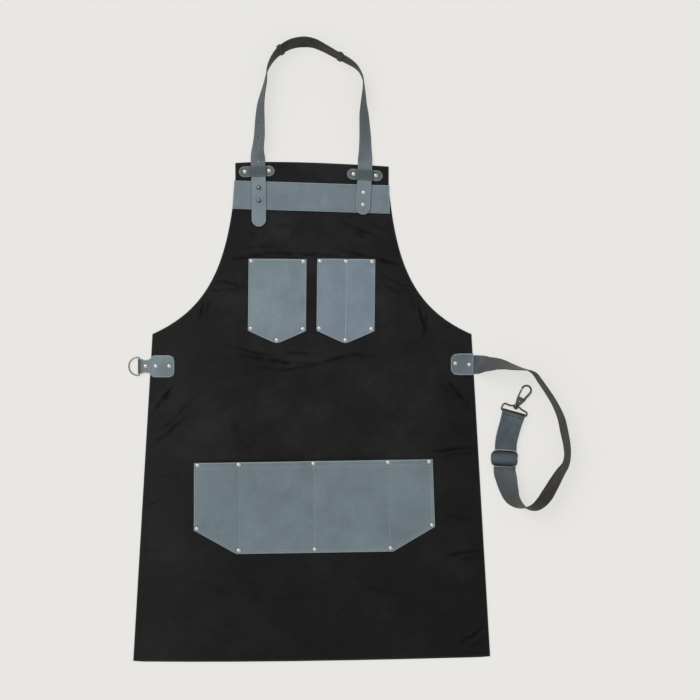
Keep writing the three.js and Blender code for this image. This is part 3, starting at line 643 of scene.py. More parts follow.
def swept(name, centres, sides, ups, section, materials, edge, closed=False, scale=None):
    """A closed section (points of side and up) carried along frames. Open ends are capped."""
    scale = np.ones(len(centres)) if scale is None else np.asarray(scale)
    rings = (centres[:, None] + scale[:, None, None] * (
        section[None, :, :1] * sides[:, None] + section[None, :, 1:] * ups[:, None]))
    ids = tube_ids(*rings.shape[:2], closed)
    faces = quads(ids).tolist()
    if not closed:
        faces += [ids[0, :-1].tolist()[::-1], ids[-1, :-1].tolist()]
    values = np.tile(edge, len(rings))
    return new_piece(name, rings.reshape(-1, 3), faces, materials, edge=values)


def flat_frames(points, closed=False):
    """Sides and ups of a path that lies nearly flat: up is +Z, side is to its right."""
    if closed:
        tangent = unit(np.roll(points, -1, 0) - np.roll(points, 1, 0))
    else:
        tangent = unit(np.gradient(points, axis=0))
    side = unit(np.cross(tangent, [0, 0, 1.0]))
    return side, np.cross(side, tangent)


def wire(name, points, radius, materials, closed=False, scale=None, sides=14, wide=1.0, wear_and_highlight=0.0):
    """A metal wire along nearly flat points. wide stretches its section sideways.

    Its last argument is the strength of a painted highlight along its right-hand side."""
    side, up = flat_frames(points, closed)
    angles = round_angles(sides)
    section = np.stack([np.cos(angles), np.sin(angles)], 1) * radius * [wide, 1]
    worn = np.clip(np.abs(np.cos(angles)) - 0.7, 0, 1) * np.where(np.sin(angles) >= 0, 1.6, 0)
    # a painted highlight along the right-hand side, on top of the wear on its upper flanks
    worn = np.maximum(worn, wear_and_highlight * np.clip(np.cos(angles) - 0.2, 0, 0.4) * 2.5 * (np.sin(angles) > -0.1))
    return swept(name, points, side, up, section, materials, worn, closed, scale)


def turned(name, profile, middle, materials, sides=28, turn=None, edge=None):
    """A lathed piece about +Z. profile rows are radius and height, starting and ending on the axis."""
    profile = np.array(profile, float)
    angles = round_angles(sides)
    body = profile[1:-1]
    rings = np.stack([
        np.outer(body[:, 0], np.cos(angles)),
        np.outer(body[:, 0], np.sin(angles)),
        np.repeat(body[:, 1:], sides, 1),
    ], -1)
    ids = tube_ids(len(body), sides)
    low = len(body) * sides
    faces = quads(ids).tolist()
    faces += [[low, ids[0, i + 1], ids[0, i]] for i in range(sides)]
    faces += [[low + 1, ids[-1, i], ids[-1, i + 1]] for i in range(sides)]
    points = np.concatenate([rings.reshape(-1, 3), [[0, 0, profile[0, 1]], [0, 0, profile[-1, 1]]]])
    if turn is not None:
        points = points @ np.array(turn.to_3x3()).T
    values = None if edge is None else np.concatenate([np.repeat(edge, sides), [0, 0]])
    return new_piece(name, points + np.array(middle), faces, materials, edge=values)


def joined(name, pieces):
    """Several pieces of one part made into one object."""
    bpy.ops.object.select_all(action="DESELECT")
    for piece in pieces:
        piece.select_set(True)
    bpy.context.view_layer.objects.active = pieces[0]
    bpy.ops.object.join()
    pieces[0].name = name
    return pieces[0]


def modified(piece, kind, **settings):
    """Applies a modifier to the piece."""
    modifier = piece.modifiers.new(kind.lower(), kind)
    for key, value in settings.items():
        setattr(modifier, key, value)
    bpy.context.view_layer.objects.active = piece
    bpy.ops.object.modifier_apply(modifier=modifier.name)


def cut(piece, cutters):
    """Cuts the joined cutters out of the piece and removes them."""
    tool = joined("cutter", cutters) if len(cutters) > 1 else cutters[0]
    modified(piece, "BOOLEAN", operation="DIFFERENCE", solver="EXACT", material_mode="TRANSFER", object=tool)
    bpy.data.objects.remove(tool)


def rough(points, scale, seed):
    """Smooth noise from -1 to 1 at each point (x, y), with features of about that size in metres."""
    flat = points.reshape(-1, points.shape[-1])
    values = [noise.noise(Vector((p[0] / scale, p[1] / scale, seed))) for p in flat]
    return np.array(values).reshape(points.shape[:-1])


# ------------------------------------------------------------------ trim places

class Spot:
    """Where a flat piece sits on the apron: its middle and its turn about +Z in degrees."""

    def __init__(self, x, y, degrees):
        self.middle = np.array([x, y])
        angle = math.radians(degrees)
        self.turn = np.array([[math.cos(angle), -math.sin(angle)], [math.sin(angle), math.cos(angle)]])

    def out(self, points):
        """From the piece's own x and y to the apron's."""
        points = np.asarray(points, float)
        flat = points[..., :2] @ self.turn.T + self.middle
        return np.concatenate([flat, points[..., 2:]], -1)

    def own(self, points):
        return (np.asarray(points, float)[..., :2] - self.middle) @ self.turn


CHEST_HALF = 0.0508
CHEST_SIDE = 0.125
CHEST_POINT = 0.148
CHEST_TOP = 0.696
LAP_HALF = 0.2075
LAP_LOW_HALF = 0.2097
LAP_FOOT_HALF = 0.1363
LAP_SIDE = 0.1175
LAP_HEIGHT = 0.1595
LAP_DIVIDER = 0.1305
BAND_HALF = 0.137
BAND_HEIGHT = 0.050
LEFT_CHEST = Spot(-0.060, CHEST_TOP, -0.5)
RIGHT_CHEST = Spot(0.0594, CHEST_TOP, -0.6)
LAP = Spot(0.0024, 0.3446, 0.93)
BAND = Spot(-0.001, 0.8032, -1.8)
LEFT_KEEPER = Spot(-0.0961, 0.8482, 1.9)
RIGHT_KEEPER = Spot(0.0919, 0.842, -4)
RING_X, RING_Y, RING_LEVEL = -0.300, 0.5093, 0.0028

# Places where leather lies on the canvas and keeps it flat: spot, half width, lowest and highest y
covered = [
    (LEFT_CHEST, CHEST_HALF, -CHEST_POINT, 0), (RIGHT_CHEST, CHEST_HALF, -CHEST_POINT, 0),
    (LAP, LAP_LOW_HALF, -LAP_HEIGHT, 0), (BAND, BAND_HALF, -BAND_HEIGHT / 2, BAND_HEIGHT / 2),
    (LEFT_KEEPER, 0.031, -0.012, 0.030), (RIGHT_KEEPER, 0.031, -0.012, 0.030),
    (Spot(-0.260, RING_Y, 0), 0.030, -0.019, 0.019), (Spot(0.265, 0.5128, 0), 0.030, -0.0195, 0.0195),
    (Spot(-0.0922, 0.776, 0), 0.013, -0.026, 0.02), (Spot(0.0892, 0.786, 0), 0.013, -0.014, 0.02),
]


def looseness(points):
    """0 where leather holds the canvas flat, rising to 1 a little way from it."""
    free = np.ones(points.shape[:-1])
    for spot, half, low, high in covered:
        own = spot.own(points)
        outside = np.hypot(
            np.clip(np.abs(own[..., 0]) - half, 0, None),
            np.clip(np.maximum(low - own[..., 1], own[..., 1] - high), 0, None),
        )
        share = np.clip((outside - 0.002) / 0.014, 0, 1)
        free = np.minimum(free, share * share * (3 - 2 * share))
    return free


# ------------------------------------------------------------------ canvas body

SIDE_CORNER = 0.5655
SIDE_HALF = 0.2775
BOTTOM_HALF = 0.310
BIB_HALF = 0.1335
ARM_TOP = 0.825  # where the armhole's curve meets the bib's straight side
BIB_TOP = 0.860
HEM_WIDTH = 0.012
SEAM_INSET = 0.0095
PUCKER = 0.0085  # length of the small waves along the hem

# Creases pressed into the canvas: start, end, half width and height in mm, and depth of their painted shade
creases = [
    # on the bib, under the band
    ((46, 770), (133, 729), 3, 1, 0.7), ((59, 762), (121, 722), 3.4, 0.8, 0.5),
    ((-70, 762), (0, 760), 5, 0.6, 0.2), ((-22, 768), (-46, 732), 4, 0.7, 0.3),
    ((86, 772), (132, 750), 3, 0.7, 0.4), ((-115, 760), (-85, 728), 4, 0.6, 0.3),
    # above the chest pockets
    ((-150, 697.5), (-66, 711), 2.2, 0.9, 0.9), ((-80, 709.5), (47, 706), 2, 0.8, 0.8),
    ((40, 717), (146, 694), 2.2, 1, 0.8), ((104, 701), (154, 687), 2, 1.2, 1.0),
    ((116, 676), (171, 646), 2.4, 0.9, 0.6), ((112, 664), (160, 637), 2.4, 0.7, 0.5),
    ((-126, 720), (-60, 723), 2.6, 0.6, 0.4),
    # at the armholes
    ((-168, 663), (-118, 651), 2.2, 0.9, 0.7), ((-181, 645), (-122, 646), 2.2, 0.8, 0.6),
    ((-193, 623), (-199, 587), 2, 1, 1.0), ((-184, 626), (-188, 596), 2, 0.8, 0.7),
    ((187, 625), (202, 564), 2.2, 1.1, 1.0), ((197, 605), (190, 556), 2, 0.9, 0.8),
    ((175, 638), (184, 600), 2.2, 0.8, 0.5),
    # under the chest pockets
    ((-150, 549), (-60, 529), 2.4, 1, 0.8), ((-139, 533), (-44, 522.5), 2.2, 0.9, 0.8),
    ((-110, 526), (14, 517.6), 2.6, 1, 0.9), ((-69, 504.5), (20, 518), 2.4, 0.9, 0.8),
    ((8, 519), (96, 540), 2.6, 1.1, 0.8), ((-102, 514.3), (-28, 503.5), 2.4, 0.8, 0.6),
    ((30, 530), (118, 533), 2.6, 0.8, 0.5), ((-50, 538), (20, 534), 2.6, 0.8, 0.5),
    # at the sides, under the tab and the patch
    ((236, 492), (277, 439), 2.4, 1.3, 1.0), ((245, 473), (281, 434), 2.2, 1.1, 0.9),
    ((224, 486), (258, 447), 2.4, 0.8, 0.5), ((-238, 485), (-277, 440), 2.4, 1.2, 1.0),
    ((-246, 465), (-280, 434), 2.2, 1.1, 0.9), ((-217, 429), (-281, 374), 3, 0.9, 0.6),
    ((-232, 423), (-277, 396), 2.6, 0.7, 0.5), ((-205, 462), (-262, 403), 3, 0.6, 0.4),
    # round the lower pocket, the first three with painted shadow along its mouth
    ((-214, 346.6), (-85, 348.7), 2, 0.8, 1.0), ((-120, 348.7), (80, 352), 1.8, 0.6, 0.7),
    ((40, 351.4), (216, 354), 1.6, 0.6, 0.6), ((208, 364), (282, 372.5), 2.4, 1.1, 1.0),
    ((222, 356), (288, 364), 2.4, 0.8, 0.7), ((232, 183), (292, 195), 2.6, 1.1, 1.0),
    ((250, 176), (296, 184), 2.4, 0.8, 0.8), ((224, 260), (280, 248), 4, 0.7, 0.4),
    ((-292, 201), (-262, 190), 3, 0.8, 0.4), ((-298, 270), (-256, 284), 3, 0.7, 0.4),
    ((-270, 320), (-222, 332), 3, 0.6, 0.3),
    # towards the bottom hem
    ((252, 31), (299, 61), 3, 1, 0.8), ((270, 23), (305, 44), 2.8, 0.9, 0.8),
    ((-200, 140), (-130, 120), 5, 0.6, 0.3), ((-100, 112), (30, 118), 5, 0.5, 0.2),
    ((70, 135), (170, 118), 5, 0.6, 0.3), ((-240, 60), (-150, 50), 4, 0.5, 0.2),
    # soft hollows
    ((-130, 425), (-84, 376), 13, 0.8, 0.5), ((120, 460), (170, 420), 12, 0.6, 0.2),
]


def creased(points):
    """The rise of all creases at each point, and how deep the painted shade on a crease's shaded side is there."""
    lift = np.zeros(points.shape[:-1])
    shade = np.zeros(points.shape[:-1])
    wander = rough(points, 0.022, 41.0)
    broken = np.clip(0.85 + 1.2 * rough(points, 0.018, 43.0), 0.2, 1)
    for start, end, half, height, depth in creases:
        start, end = np.array(start) / 1000, np.array(end) / 1000
        half, height = half / 1000, height / 1000
        length = np.linalg.norm(end - start)
        along = (end - start) / length
        away = points - start
        run = away @ along / length
        across = np.array([-along[1], along[0]])
        across = across if across[1] > 0 else -across
        off = away @ across / half + 0.9 * wander
        fade = np.sin(math.pi * np.clip(run, 0, 1)) ** 0.6
        lift += 1.5 * height * fade * (np.exp(-(off / 1.3) ** 2) - 0.5 * np.exp(-(off + 2.0) ** 2))
        shade = np.maximum(shade, depth * fade * broken * np.exp(-((off + 1.7) / 1.05) ** 2))
    return lift, shade


def edge_steps(count):
    """Fine steps in from the canvas's edge."""
    return np.concatenate([RIM, np.arange(1, count + 1) * 0.0008 + RIM[-1]])


NEAR = edge_steps(20)


def canvas_edge(sign, foot, corner_reach, chest_reach):
    """Points up one edge of the canvas, and the matching points up a line set in from it.

    sign is -1 for the left edge. foot is its x at the bottom, and the reaches pull on the armhole's curve."""
    inset = NEAR[-1]
    fine = edge_steps(29)
    side = np.concatenate([fine, np.arange(fine[-1] + 0.0028, SIDE_CORNER, 0.0029)]) / SIDE_CORNER
    side = side[:, None]
    bib = np.concatenate([np.linspace(ARM_TOP, BIB_TOP - 0.0118, 14)[1:], BIB_TOP - fine[::-1][14:]])
    share = np.linspace(0, 1, 108)

    corner = np.array([sign * SIDE_HALF, SIDE_CORNER])
    low = np.array([sign * foot, 0])
    controls = [corner, (sign * corner_reach, 0.610), (sign * chest_reach, 0.690), (sign * BIB_HALF, ARM_TOP)]

    def arm(t):
        return cubic(controls, t)

    def arm_inward(t):
        ahead = unit(arm(t + 0.001) - arm(t - 0.001))
        return -sign * np.stack([ahead[:, 1], -ahead[:, 0]], 1)

    up = unit(corner - low)
    inward = -sign * np.array([up[1], -up[0]])
    trial = np.linspace(0, 1, 2000)
    reach = (arm(trial) + arm_inward(trial) * inset - low) @ inward
    first = trial[np.argmax(reach >= inset)]
    inner_share = first + (1 - first) * share
    inner_arm = arm(inner_share) + arm_inward(inner_share) * inset
    inner_low = low + inward * inset
    outer = np.concatenate([low + side * (corner - low), arm(share), [(sign * BIB_HALF, y) for y in bib]])
    inner_side = inner_low + side * (inner_arm[0] - inner_low)
    inner_x = sign * (BIB_HALF - inset)
    inner = np.concatenate([inner_side, inner_arm, [(inner_x, y) for y in bib]])
    return outer, inner


def bowed(x, start, middle, end):
    """The height at x of a curve from start to end that leans towards middle."""
    share = np.linspace(0, 1, 60)[:, None]
    start, middle, end = (np.array(point) for point in (start, middle, end))
    curve = (1 - share) ** 2 * start + 2 * share * (1 - share) * middle + share ** 2 * end
    return np.interp(x, curve[:, 0], curve[:, 1])


def canvas_grid():
    """The canvas's points, laid flat in a grid, and how far each is in from the nearest edge."""
    left, inner_left = canvas_edge(-1, 0.311, 0.177, 0.147)
    right, inner_right = canvas_edge(1, BOTTOM_HALF, 0.175, 0.146)
    share = NEAR[None, :, None] / NEAR[-1]
    middle = np.linspace(0, 1, 224)[None, 1:-1, None]
    rows = np.concatenate([
        left[:, None] + (inner_left - left)[:, None] * share,
        inner_left[:, None] + (inner_right - inner_left)[:, None] * middle,
        (right[:, None] + (inner_right - right)[:, None] * share)[:, ::-1],
    ], 1)
    edge_off = np.concatenate([NEAR, np.full(middle.shape[1], 1.0), NEAR[::-1]])
    from_side = np.broadcast_to(edge_off, rows.shape[:2])
    from_end = np.minimum(rows[..., 1], BIB_TOP - rows[..., 1])
    from_edge = np.minimum(from_side, from_end)

    level = rows[..., 1] / BIB_TOP
    bottom = bowed(rows[..., 0], (-0.311, -0.003), (-0.060, -0.006), (0.310, 0.005))
    top = bowed(rows[..., 0], (-0.134, 0.003), (-0.060, 0.009), (0.1325, -0.003))
    flat = rows.copy()
    flat[..., 1] += bottom * (1 - level) ** 4 + top * level ** 8
    return flat, from_edge


def canvas_lift(flat, from_edge):
    """How far the creased cloth rises, and how deep its painted crease shade is."""
    free = looseness(flat) * np.clip(from_edge / 0.016, 0.25, 1)
    lift, crease_shade = creased(flat)
    lift = lift * np.clip(from_edge / 0.006, 0.4, 1)
    folds = (1 - np.abs(rough(flat * [1, 1.6], 0.045, 21.0))) ** 9
    folded = np.clip(0.4 + 1.5 * rough(flat, 0.11, 31.0), 0, 1)
    swells = 0.0009 * rough(flat, 0.085, 2.0)
    ripples = 0.0004 * rough(flat, 0.028, 5.0) + 0.00016 * rough(flat, 0.010, 9.0)
    lift += swells + ripples + 0.0007 * folds * folded
    lift = np.maximum(lift * free, -0.0009)
    wave = 0.0013 * np.clip(rough(flat, 0.060, 12.0) + 0.1, 0, 1) * np.clip(1 - from_edge / 0.05, 0, 1)
    lift += wave * looseness(flat)
    return lift, crease_shade * np.clip(0.5 + 2 * free, 0, 1)


def canvas_sheet():
    """The canvas with its creases and hem, and the hem's lines of sewing on its front and its back."""
    flat, from_edge = canvas_grid()
    lift, crease_shade = canvas_lift(flat, from_edge)
    at_hem = np.clip((HEM_WIDTH + 0.0004 - from_edge) / 0.0009, 0, 1)
    groove = np.exp(-((from_edge - SEAM_INSET) / 0.0007) ** 2)
    fold = np.exp(-((from_edge - HEM_WIDTH - 0.0008) / 0.0011) ** 2)
    waves = np.sin((flat[..., 0] + flat[..., 1]) * 2 * math.pi / PUCKER)
    pucker = 0.00012 * waves * np.exp(-(from_edge / 0.009) ** 2)
    high = FRONT + lift + pucker - 0.00028 * groove - 0.00035 * fold
    low = HEM * (1 - at_hem) + lift + 0.0003 * groove * at_hem
    middle_level = (high + low) / 2
    half = (high - low) / 2
    half = half * np.sqrt(np.clip(1 - (1 - np.clip(from_edge / 0.00105, 0, 1)) ** 2, 0, 1))
    front = with_level(flat, middle_level + half)
    back = with_level(flat, middle_level - half)
    worn = np.clip(1.2 - from_edge / 0.0022, 0, 1) * 0.85
    piece = closed_sheet("canvas_cloth", front, back, [BLACK_CANVAS] * 3, worn)
    # painted shade along the creases, kept on the points for the finish
    painted(piece, "crease_shade", crease_shade)
    return piece, hem_seam_path(flat, high), hem_seam_path(flat, low)


def hem_seam_path(flat, level):
    """The hem's lines of sewing, as points on the canvas at that level."""
    surface = with_level(flat, level)
    column = int(np.argmin(np.abs(NEAR - SEAM_INSET)))
    far_column = flat.shape[1] - 1 - column
    inside = (flat[:, column, 1] > SEAM_INSET) & (flat[:, column, 1] < BIB_TOP - SEAM_INSET)
    first, *_, last = np.where(inside)[0]
    sides = [surface[first:last + 1, at] for at in (column, far_column)]
    ends = [surface[at, column:far_column + 1] for at in (first, last)]
    return sides + ends


# ------------------------------------------------------------------ sewing

# From stitch to stitch, a stitch's length, and half the thread's thickness
HEM_PITCH, HEM_STITCH = 0.0031, 0.0025
TRIM_PITCH, TRIM_STITCH, TRIM_THREAD = 0.0036, 0.0028, 0.00036
FOLD_PITCH, FOLD_STITCH, FOLD_THREAD = 0.0040, 0.0027, 0.0005


def along_path(points, pitch):
    """Places and directions at even distances along a path of points."""
    marks = path_marks(points)
    count = max(1, int(marks[-1] // pitch))
    wanted = (marks[-1] - (count - 1) * pitch) / 2 + np.arange(count) * pitch
    reach = 0.0004
    ahead = at_marks(points, marks, wanted + reach)
    behind = at_marks(points, marks, wanted - reach)
    return at_marks(points, marks, wanted), unit(ahead - behind)


def stitches(name, paths, pitch, length, radius, material, up=1.0):
    """One small arched capsule of thread for each stitch along the paths. up is -1 for a back face."""
    sides = 6
    bands = np.array([-1, -0.82, -0.35, 0.35, 0.82, 1])  # where its rings are along it
    width = np.array([0.35, 0.85, 1, 1, 0.85, 0.35])
    arch = np.array([-0.9, -0.1, 0.25, 0.25, -0.1, -0.9])  # how high they are
    angles = round_angles(sides)
    points = []
    for path in paths:
        places, along = along_path(path, pitch)
        side = unit(np.cross(along, [0, 0, 1.0]))
        above = np.cross(side, along) * up
        body = (
            places[:, None, None] + along[:, None, None] * (bands * length / 2)[None, :, None, None]
            + above[:, None, None] * (arch * radius)[None, :, None, None]
            + side[:, None, None] * (width[:, None] * np.cos(angles) * radius)[None, :, :, None]
            + above[:, None, None] * (width[:, None] * np.sin(angles) * radius * 0.8)[None, :, :, None]
        )
        points.append(body.reshape(-1, 3))
    points = np.concatenate(points)
    size = len(bands) * sides
    starts = np.arange(0, len(points), size)
    strip = quads(tube_ids(len(bands), sides))
    faces = (strip[None] + starts[:, None, None]).reshape(-1, 4).tolist()
    for start in starts.tolist():
        faces.append(list(range(start, start + sides))[::-1])
        faces.append(list(range(start + size - sides, start + size)))
    return new_piece(name, points, faces, [material])


# ------------------------------------------------------------------ flat leather on the canvas

class Panel:
    """A flat leather piece sewn to the canvas: x runs across it, y from its lower edge to its top.

    seams are distances in from its sides and its ends; negative ones are from the far side or end."""

    def __init__(self, spot, half_at, low_at, high_at, lift_at, material, seams_x, seams_y):
        self.spot = spot
        self.half_at = half_at
        self.low_at = low_at
        self.high_at = high_at
        self.lift_at = lift_at
        self.material = material
        self.seams_x = seams_x
        self.seams_y = seams_y

    def build(self, name):
        """The panel as a closed sheet, with a groove at each seam."""
        step = 0.0022
        wide = 2 * float(self.half_at(0.0))
        tall = float(self.high_at(0.0) - self.low_at(0.0))
        across = with_seams(spaced(wide, step), [x % wide for x in self.seams_x])
        upward = with_seams(spaced(tall, step), [y % tall for y in self.seams_y])
        share_x, share_y = np.meshgrid(across / wide, upward / tall)
        half = self.half_at(share_y)
        x = (share_x * 2 - 1) * half
        low, high = self.low_at(x), self.high_at(x)
        y = low + (high - low) * share_y
        inset = inset_grid(across, wide, upward, tall)
        place = self.spot.out(np.stack([x, y], -1))
        wobble = 0.00018 * rough(place, 0.012, 3.0) + 0.00012 * rough(place, 0.005, 7.0)
        middle = TRIM + LEATHER / 2 + self.lift_at(x, y) + wobble * np.clip(inset / 0.004, 0, 1)
        soft_rim = 0.000175 * np.clip(1 - inset / 0.0035, 0, 1) ** 2
        half_thick = rounded(inset, LEATHER)
        front = with_level(place, middle + half_thick - soft_rim)
        back = with_level(place, middle - half_thick)
        worn = np.clip(1 - (inset - 0.0004) / 0.0016, 0, 1)
        return closed_sheet(name, front, back, [self.material, POCKET_BACK, self.material], worn)

    def path(self, corners):
        """A sewing line through corners in the panel's own x and y, carried onto its front face."""
        step = 0.002
        corners = np.array(corners, float)
        marks = path_marks(corners)
        wanted = np.linspace(0, marks[-1], max(2, int(marks[-1] / step)))
        own = at_marks(corners, marks, wanted)
        return self.spot.out(with_level(own, TRIM_TOP + self.lift_at(own[:, 0], own[:, 1])))


def constant(value):
    """A measure that is the same all along a panel."""
    return lambda along: np.full(np.shape(along), value)


def bulge(value, low, high):
    """0 at both ends and 1 in the middle, with full flanks, and 0 outside."""
    share = np.clip((value - low) / (high - low), 0, 1)
    return np.sin(math.pi * share) ** 0.7


def seam_groove(distances):
    """The groove that sewing presses into leather, from the distances to its lines."""
    return -0.00032 * np.exp(-(np.minimum.reduce(distances) / 0.0008) ** 2)


def puffed(x, bounds):
    """How far a pocket's front stands up between the seams at the bounds."""
    return sum(bulge(x, low, high) for low, high in zip(bounds[:-1], bounds[1:]))


SEAM = 0.0045  # sewing's distance in from a pocket's edge
CHEST_SEAM = 0.0030  # and from the sides of the chest pockets
LOW_SEAM = SEAM * 1.1  # and up from a pocket's lower edge
MOUTH_SEAM = -0.0078  # the line of sewing across a pocket's mouth
MOUTH_SEAM_2 = -0.0112  # and the lower pocket's second line
BAND_SEAM = 0.003
FLAT_SIDE = 0.007  # how wide a pocket's side lies flat
CHEST_SLOPE = (CHEST_POINT - CHEST_SIDE) / CHEST_HALF
LAP_SLOPE = (LAP_HEIGHT - LAP_SIDE) / (LAP_LOW_HALF - LAP_FOOT_HALF)


def chest_panel(spot, split):
    """A pointed chest pocket. split gives it a seam down its middle, for pens."""
    side = CHEST_HALF - FLAT_SIDE
    bounds = [-side, 0, side] if split else [-side, side]
    full = 0.0021 if split else 0.0026

    def low_at(x):
        return -CHEST_POINT + CHEST_SLOPE * np.sqrt(np.asarray(x) ** 2 + 0.004 ** 2)

    def lift_at(x, y):
        height = np.clip((y - low_at(x) - 0.010) / 0.075, 0, 1)
        mouth = 1 + 0.35 * np.clip((y + 0.012) / 0.012, 0, 1)
        off = [np.abs(np.abs(x) - CHEST_HALF + CHEST_SEAM), np.abs(y - low_at(x) - LOW_SEAM)]
        off.append(np.abs(y - MOUTH_SEAM))
        if split:
            off.append(np.abs(x))
        return full * puffed(x, bounds) * np.sin(height * math.pi / 2) * mouth + seam_groove(off)

    seams_x = [CHEST_SEAM, -CHEST_SEAM] + ([CHEST_HALF] if split else [])
    return Panel(spot, constant(CHEST_HALF), low_at, constant(0.0), lift_at,
                 PEN_LEATHER if split else GREY_LEATHER, seams_x, [LOW_SEAM, MOUTH_SEAM])


def lap_panel():
    """The wide lower pocket with its four compartments."""
    side = LAP_HALF - FLAT_SIDE
    bounds = [-side, -LAP_DIVIDER, 0, LAP_DIVIDER, side]

    def half_at(share):
        return LAP_LOW_HALF + (LAP_HALF - LAP_LOW_HALF) * np.asarray(share, float)

    def low_at(x):
        return -LAP_HEIGHT + LAP_SLOPE * np.clip(np.abs(x) - LAP_FOOT_HALF, 0, None)

    def lift_at(x, y):
        height = np.clip((y - low_at(x) - 0.010) / 0.09, 0, 1)
        mouth = 1 + 0.30 * np.clip((y + 0.014) / 0.014, 0, 1)
        off = [np.abs(np.abs(x) - LAP_HALF + SEAM), np.abs(y - low_at(x) - LOW_SEAM),
               np.abs(y - MOUTH_SEAM), np.abs(y - MOUTH_SEAM_2), np.abs(x), np.abs(np.abs(x) - LAP_DIVIDER)]
        return 0.0027 * puffed(x, bounds) * np.sin(height * math.pi / 2) * mouth + seam_groove(off)

    seams_x = [SEAM, LAP_LOW_HALF - LAP_DIVIDER, LAP_LOW_HALF, LAP_LOW_HALF + LAP_DIVIDER, -SEAM]
    return Panel(LAP, half_at, low_at, constant(0.0), lift_at, LAP_LEATHER, seams_x,
                 [LOW_SEAM, MOUTH_SEAM, MOUTH_SEAM_2])


def band_panel():
    """The leather band across the bib, a little narrower at its top."""
    def half_at(share):
        return BAND_HALF - 0.002 * np.asarray(share, float)

    def lift_at(_, y):
        return seam_groove([np.abs(np.abs(y) - BAND_HEIGHT / 2 + BAND_SEAM)])

    return Panel(BAND, half_at, constant(-BAND_HEIGHT / 2), constant(BAND_HEIGHT / 2), lift_at,
                 BAND_LEATHER, (), [BAND_SEAM, -BAND_SEAM])


SEWN_TOP = -0.001
DIVIDER_TOP = -0.002
CHEST_FOOT = -CHEST_POINT + LOW_SEAM + 0.0016


def chest_sewing(panel):
    """The lines of sewing round a chest pocket and across its mouth."""
    side = CHEST_HALF - CHEST_SEAM
    low_side = -CHEST_POINT + CHEST_SLOPE * side + LOW_SEAM
    mouth = CHEST_HALF - 0.002
    outline = [(-side, SEWN_TOP), (-side, low_side), (0, CHEST_FOOT), (side, low_side), (side, SEWN_TOP)]
    return [panel.path(outline), panel.path([(-mouth, MOUTH_SEAM), (mouth, MOUTH_SEAM)])]


def lap_sewing(panel):
    """The lines of sewing round the lower pocket, across its mouth and between its compartments."""
    side = LAP_HALF - SEAM
    spread = side + 0.0018
    low_side = -LAP_SIDE + SEAM * 0.4
    foot = LAP_FOOT_HALF - 0.001
    low = LOW_SEAM - LAP_HEIGHT
    mouth = LAP_HALF - 0.002
    left = [(-side, SEWN_TOP), (-spread, low_side), (-foot, low)]
    right = [(foot, low), (spread, low_side), (side, SEWN_TOP)]
    lines = [left + right]
    lines += [[(-mouth, y), (mouth, y)] for y in (MOUTH_SEAM, MOUTH_SEAM_2)]
    lines += [[(x, DIVIDER_TOP), (x, low)] for x in (-LAP_DIVIDER, 0, LAP_DIVIDER)]
    return [panel.path(line) for line in lines]


def band_sewing(panel):
    """The two lines of sewing along the band."""
    level = BAND_HEIGHT / 2 - BAND_SEAM
    end = BAND_HALF - 0.003
    return [panel.path([(-end, y), (end, y)]) for y in (-level, level)]


# ------------------------------------------------------------------ rivets

def rivet(name, x, y, seat):
    """A domed rivet with a rolled rim, its post, and its flat cap behind the canvas."""
    profile = [(0, 0.0001), (0.0030, 0.0001), (0.0034, 0.0004), (0.0033, 0.0010), (0.0012, 0.0011)]
    dome = [(0.0012, 0), (0.0032, 0), (0.0035, 0.0003), (0.0034, 0.0006), (0.0030, 0.00085), (0.0025, 0.0011),
            (0.0018, 0.0013), (0.0009, 0.00143), (0, 0.0015)]
    profile += [(radius, seat + rise) for radius, rise in dome]
    worn = [0, 0.3, 0, 0, 0, 0, 0, 0.2, 0.7, 0, 0, 0.15]
    return turned(name, profile, (x, y, 0), [NICKEL], edge=worn)


def ball_stud(name, x, y):
    """A stud with a thick round head that the neck strap's holes snap over."""
    profile = [(0, 0.0001), (0.0033, 0.0001), (0.0034, 0.0006), (0.0033, 0.0010), (0.0019, 0.0010)]
    head = [(0.0019, 0), (0.0026, 0.0002), (0.0032, 0.0007), (0.0034, 0.0013), (0.0032, 0.0019),
            (0.0026, 0.0025), (0.0017, 0.0029), (0.0008, 0.0031), (0, 0.0032)]
    profile += [(radius, ON_STRAP + rise) for radius, rise in head]
    worn = [0] * 10 + [0.6, 1.0]
    return turned(name, profile, (x, y, 0), [STUD_METAL], edge=worn)


# ------------------------------------------------------------------ straps

def route_curve(rows, width):
    """A smooth curve through a strap's route rows: x, y, height of its lower edge, roll in degrees."""
    points = np.array([(x, y, lift + width / 2 * math.sin(math.radians(roll))) for x, y, lift, roll in rows])
    rolls = np.radians([row[3] for row in rows])
    padded = np.concatenate([[2 * points[0] - points[1]], points, [2 * points[-1] - points[-2]]])
    places, turns = [], []
    for index in range(len(points) - 1):
        p0, p1, p2, p3 = padded[index:index + 4]
        t1 = max(np.linalg.norm(p1 - p0), 1e-6) ** 0.5
        t2 = t1 + max(np.linalg.norm(p2 - p1), 1e-6) ** 0.5
        t3 = t2 + max(np.linalg.norm(p3 - p2), 1e-6) ** 0.5
        share = np.linspace(0, 1, 40, endpoint=False)
        t = (t1 + share * (t2 - t1))[:, None]
        a1 = (t1 - t) / t1 * p0 + t / t1 * p1
        a2 = (t2 - t) / (t2 - t1) * p1 + (t - t1) / (t2 - t1) * p2
        a3 = (t3 - t) / (t3 - t2) * p2 + (t - t2) / (t3 - t2) * p3
        b1 = (t2 - t) / t2 * a1 + t / t2 * a2
        b2 = (t3 - t) / (t3 - t1) * a2 + (t - t1) / (t3 - t1) * a3
        places.append((t2 - t) / (t2 - t1) * b1 + (t - t1) / (t2 - t1) * b2)
        turns.append(rolls[index] + share * (rolls[index + 1] - rolls[index]))
    return np.concatenate(places + [points[-1:]]), np.concatenate(turns + [rolls[-1:]])


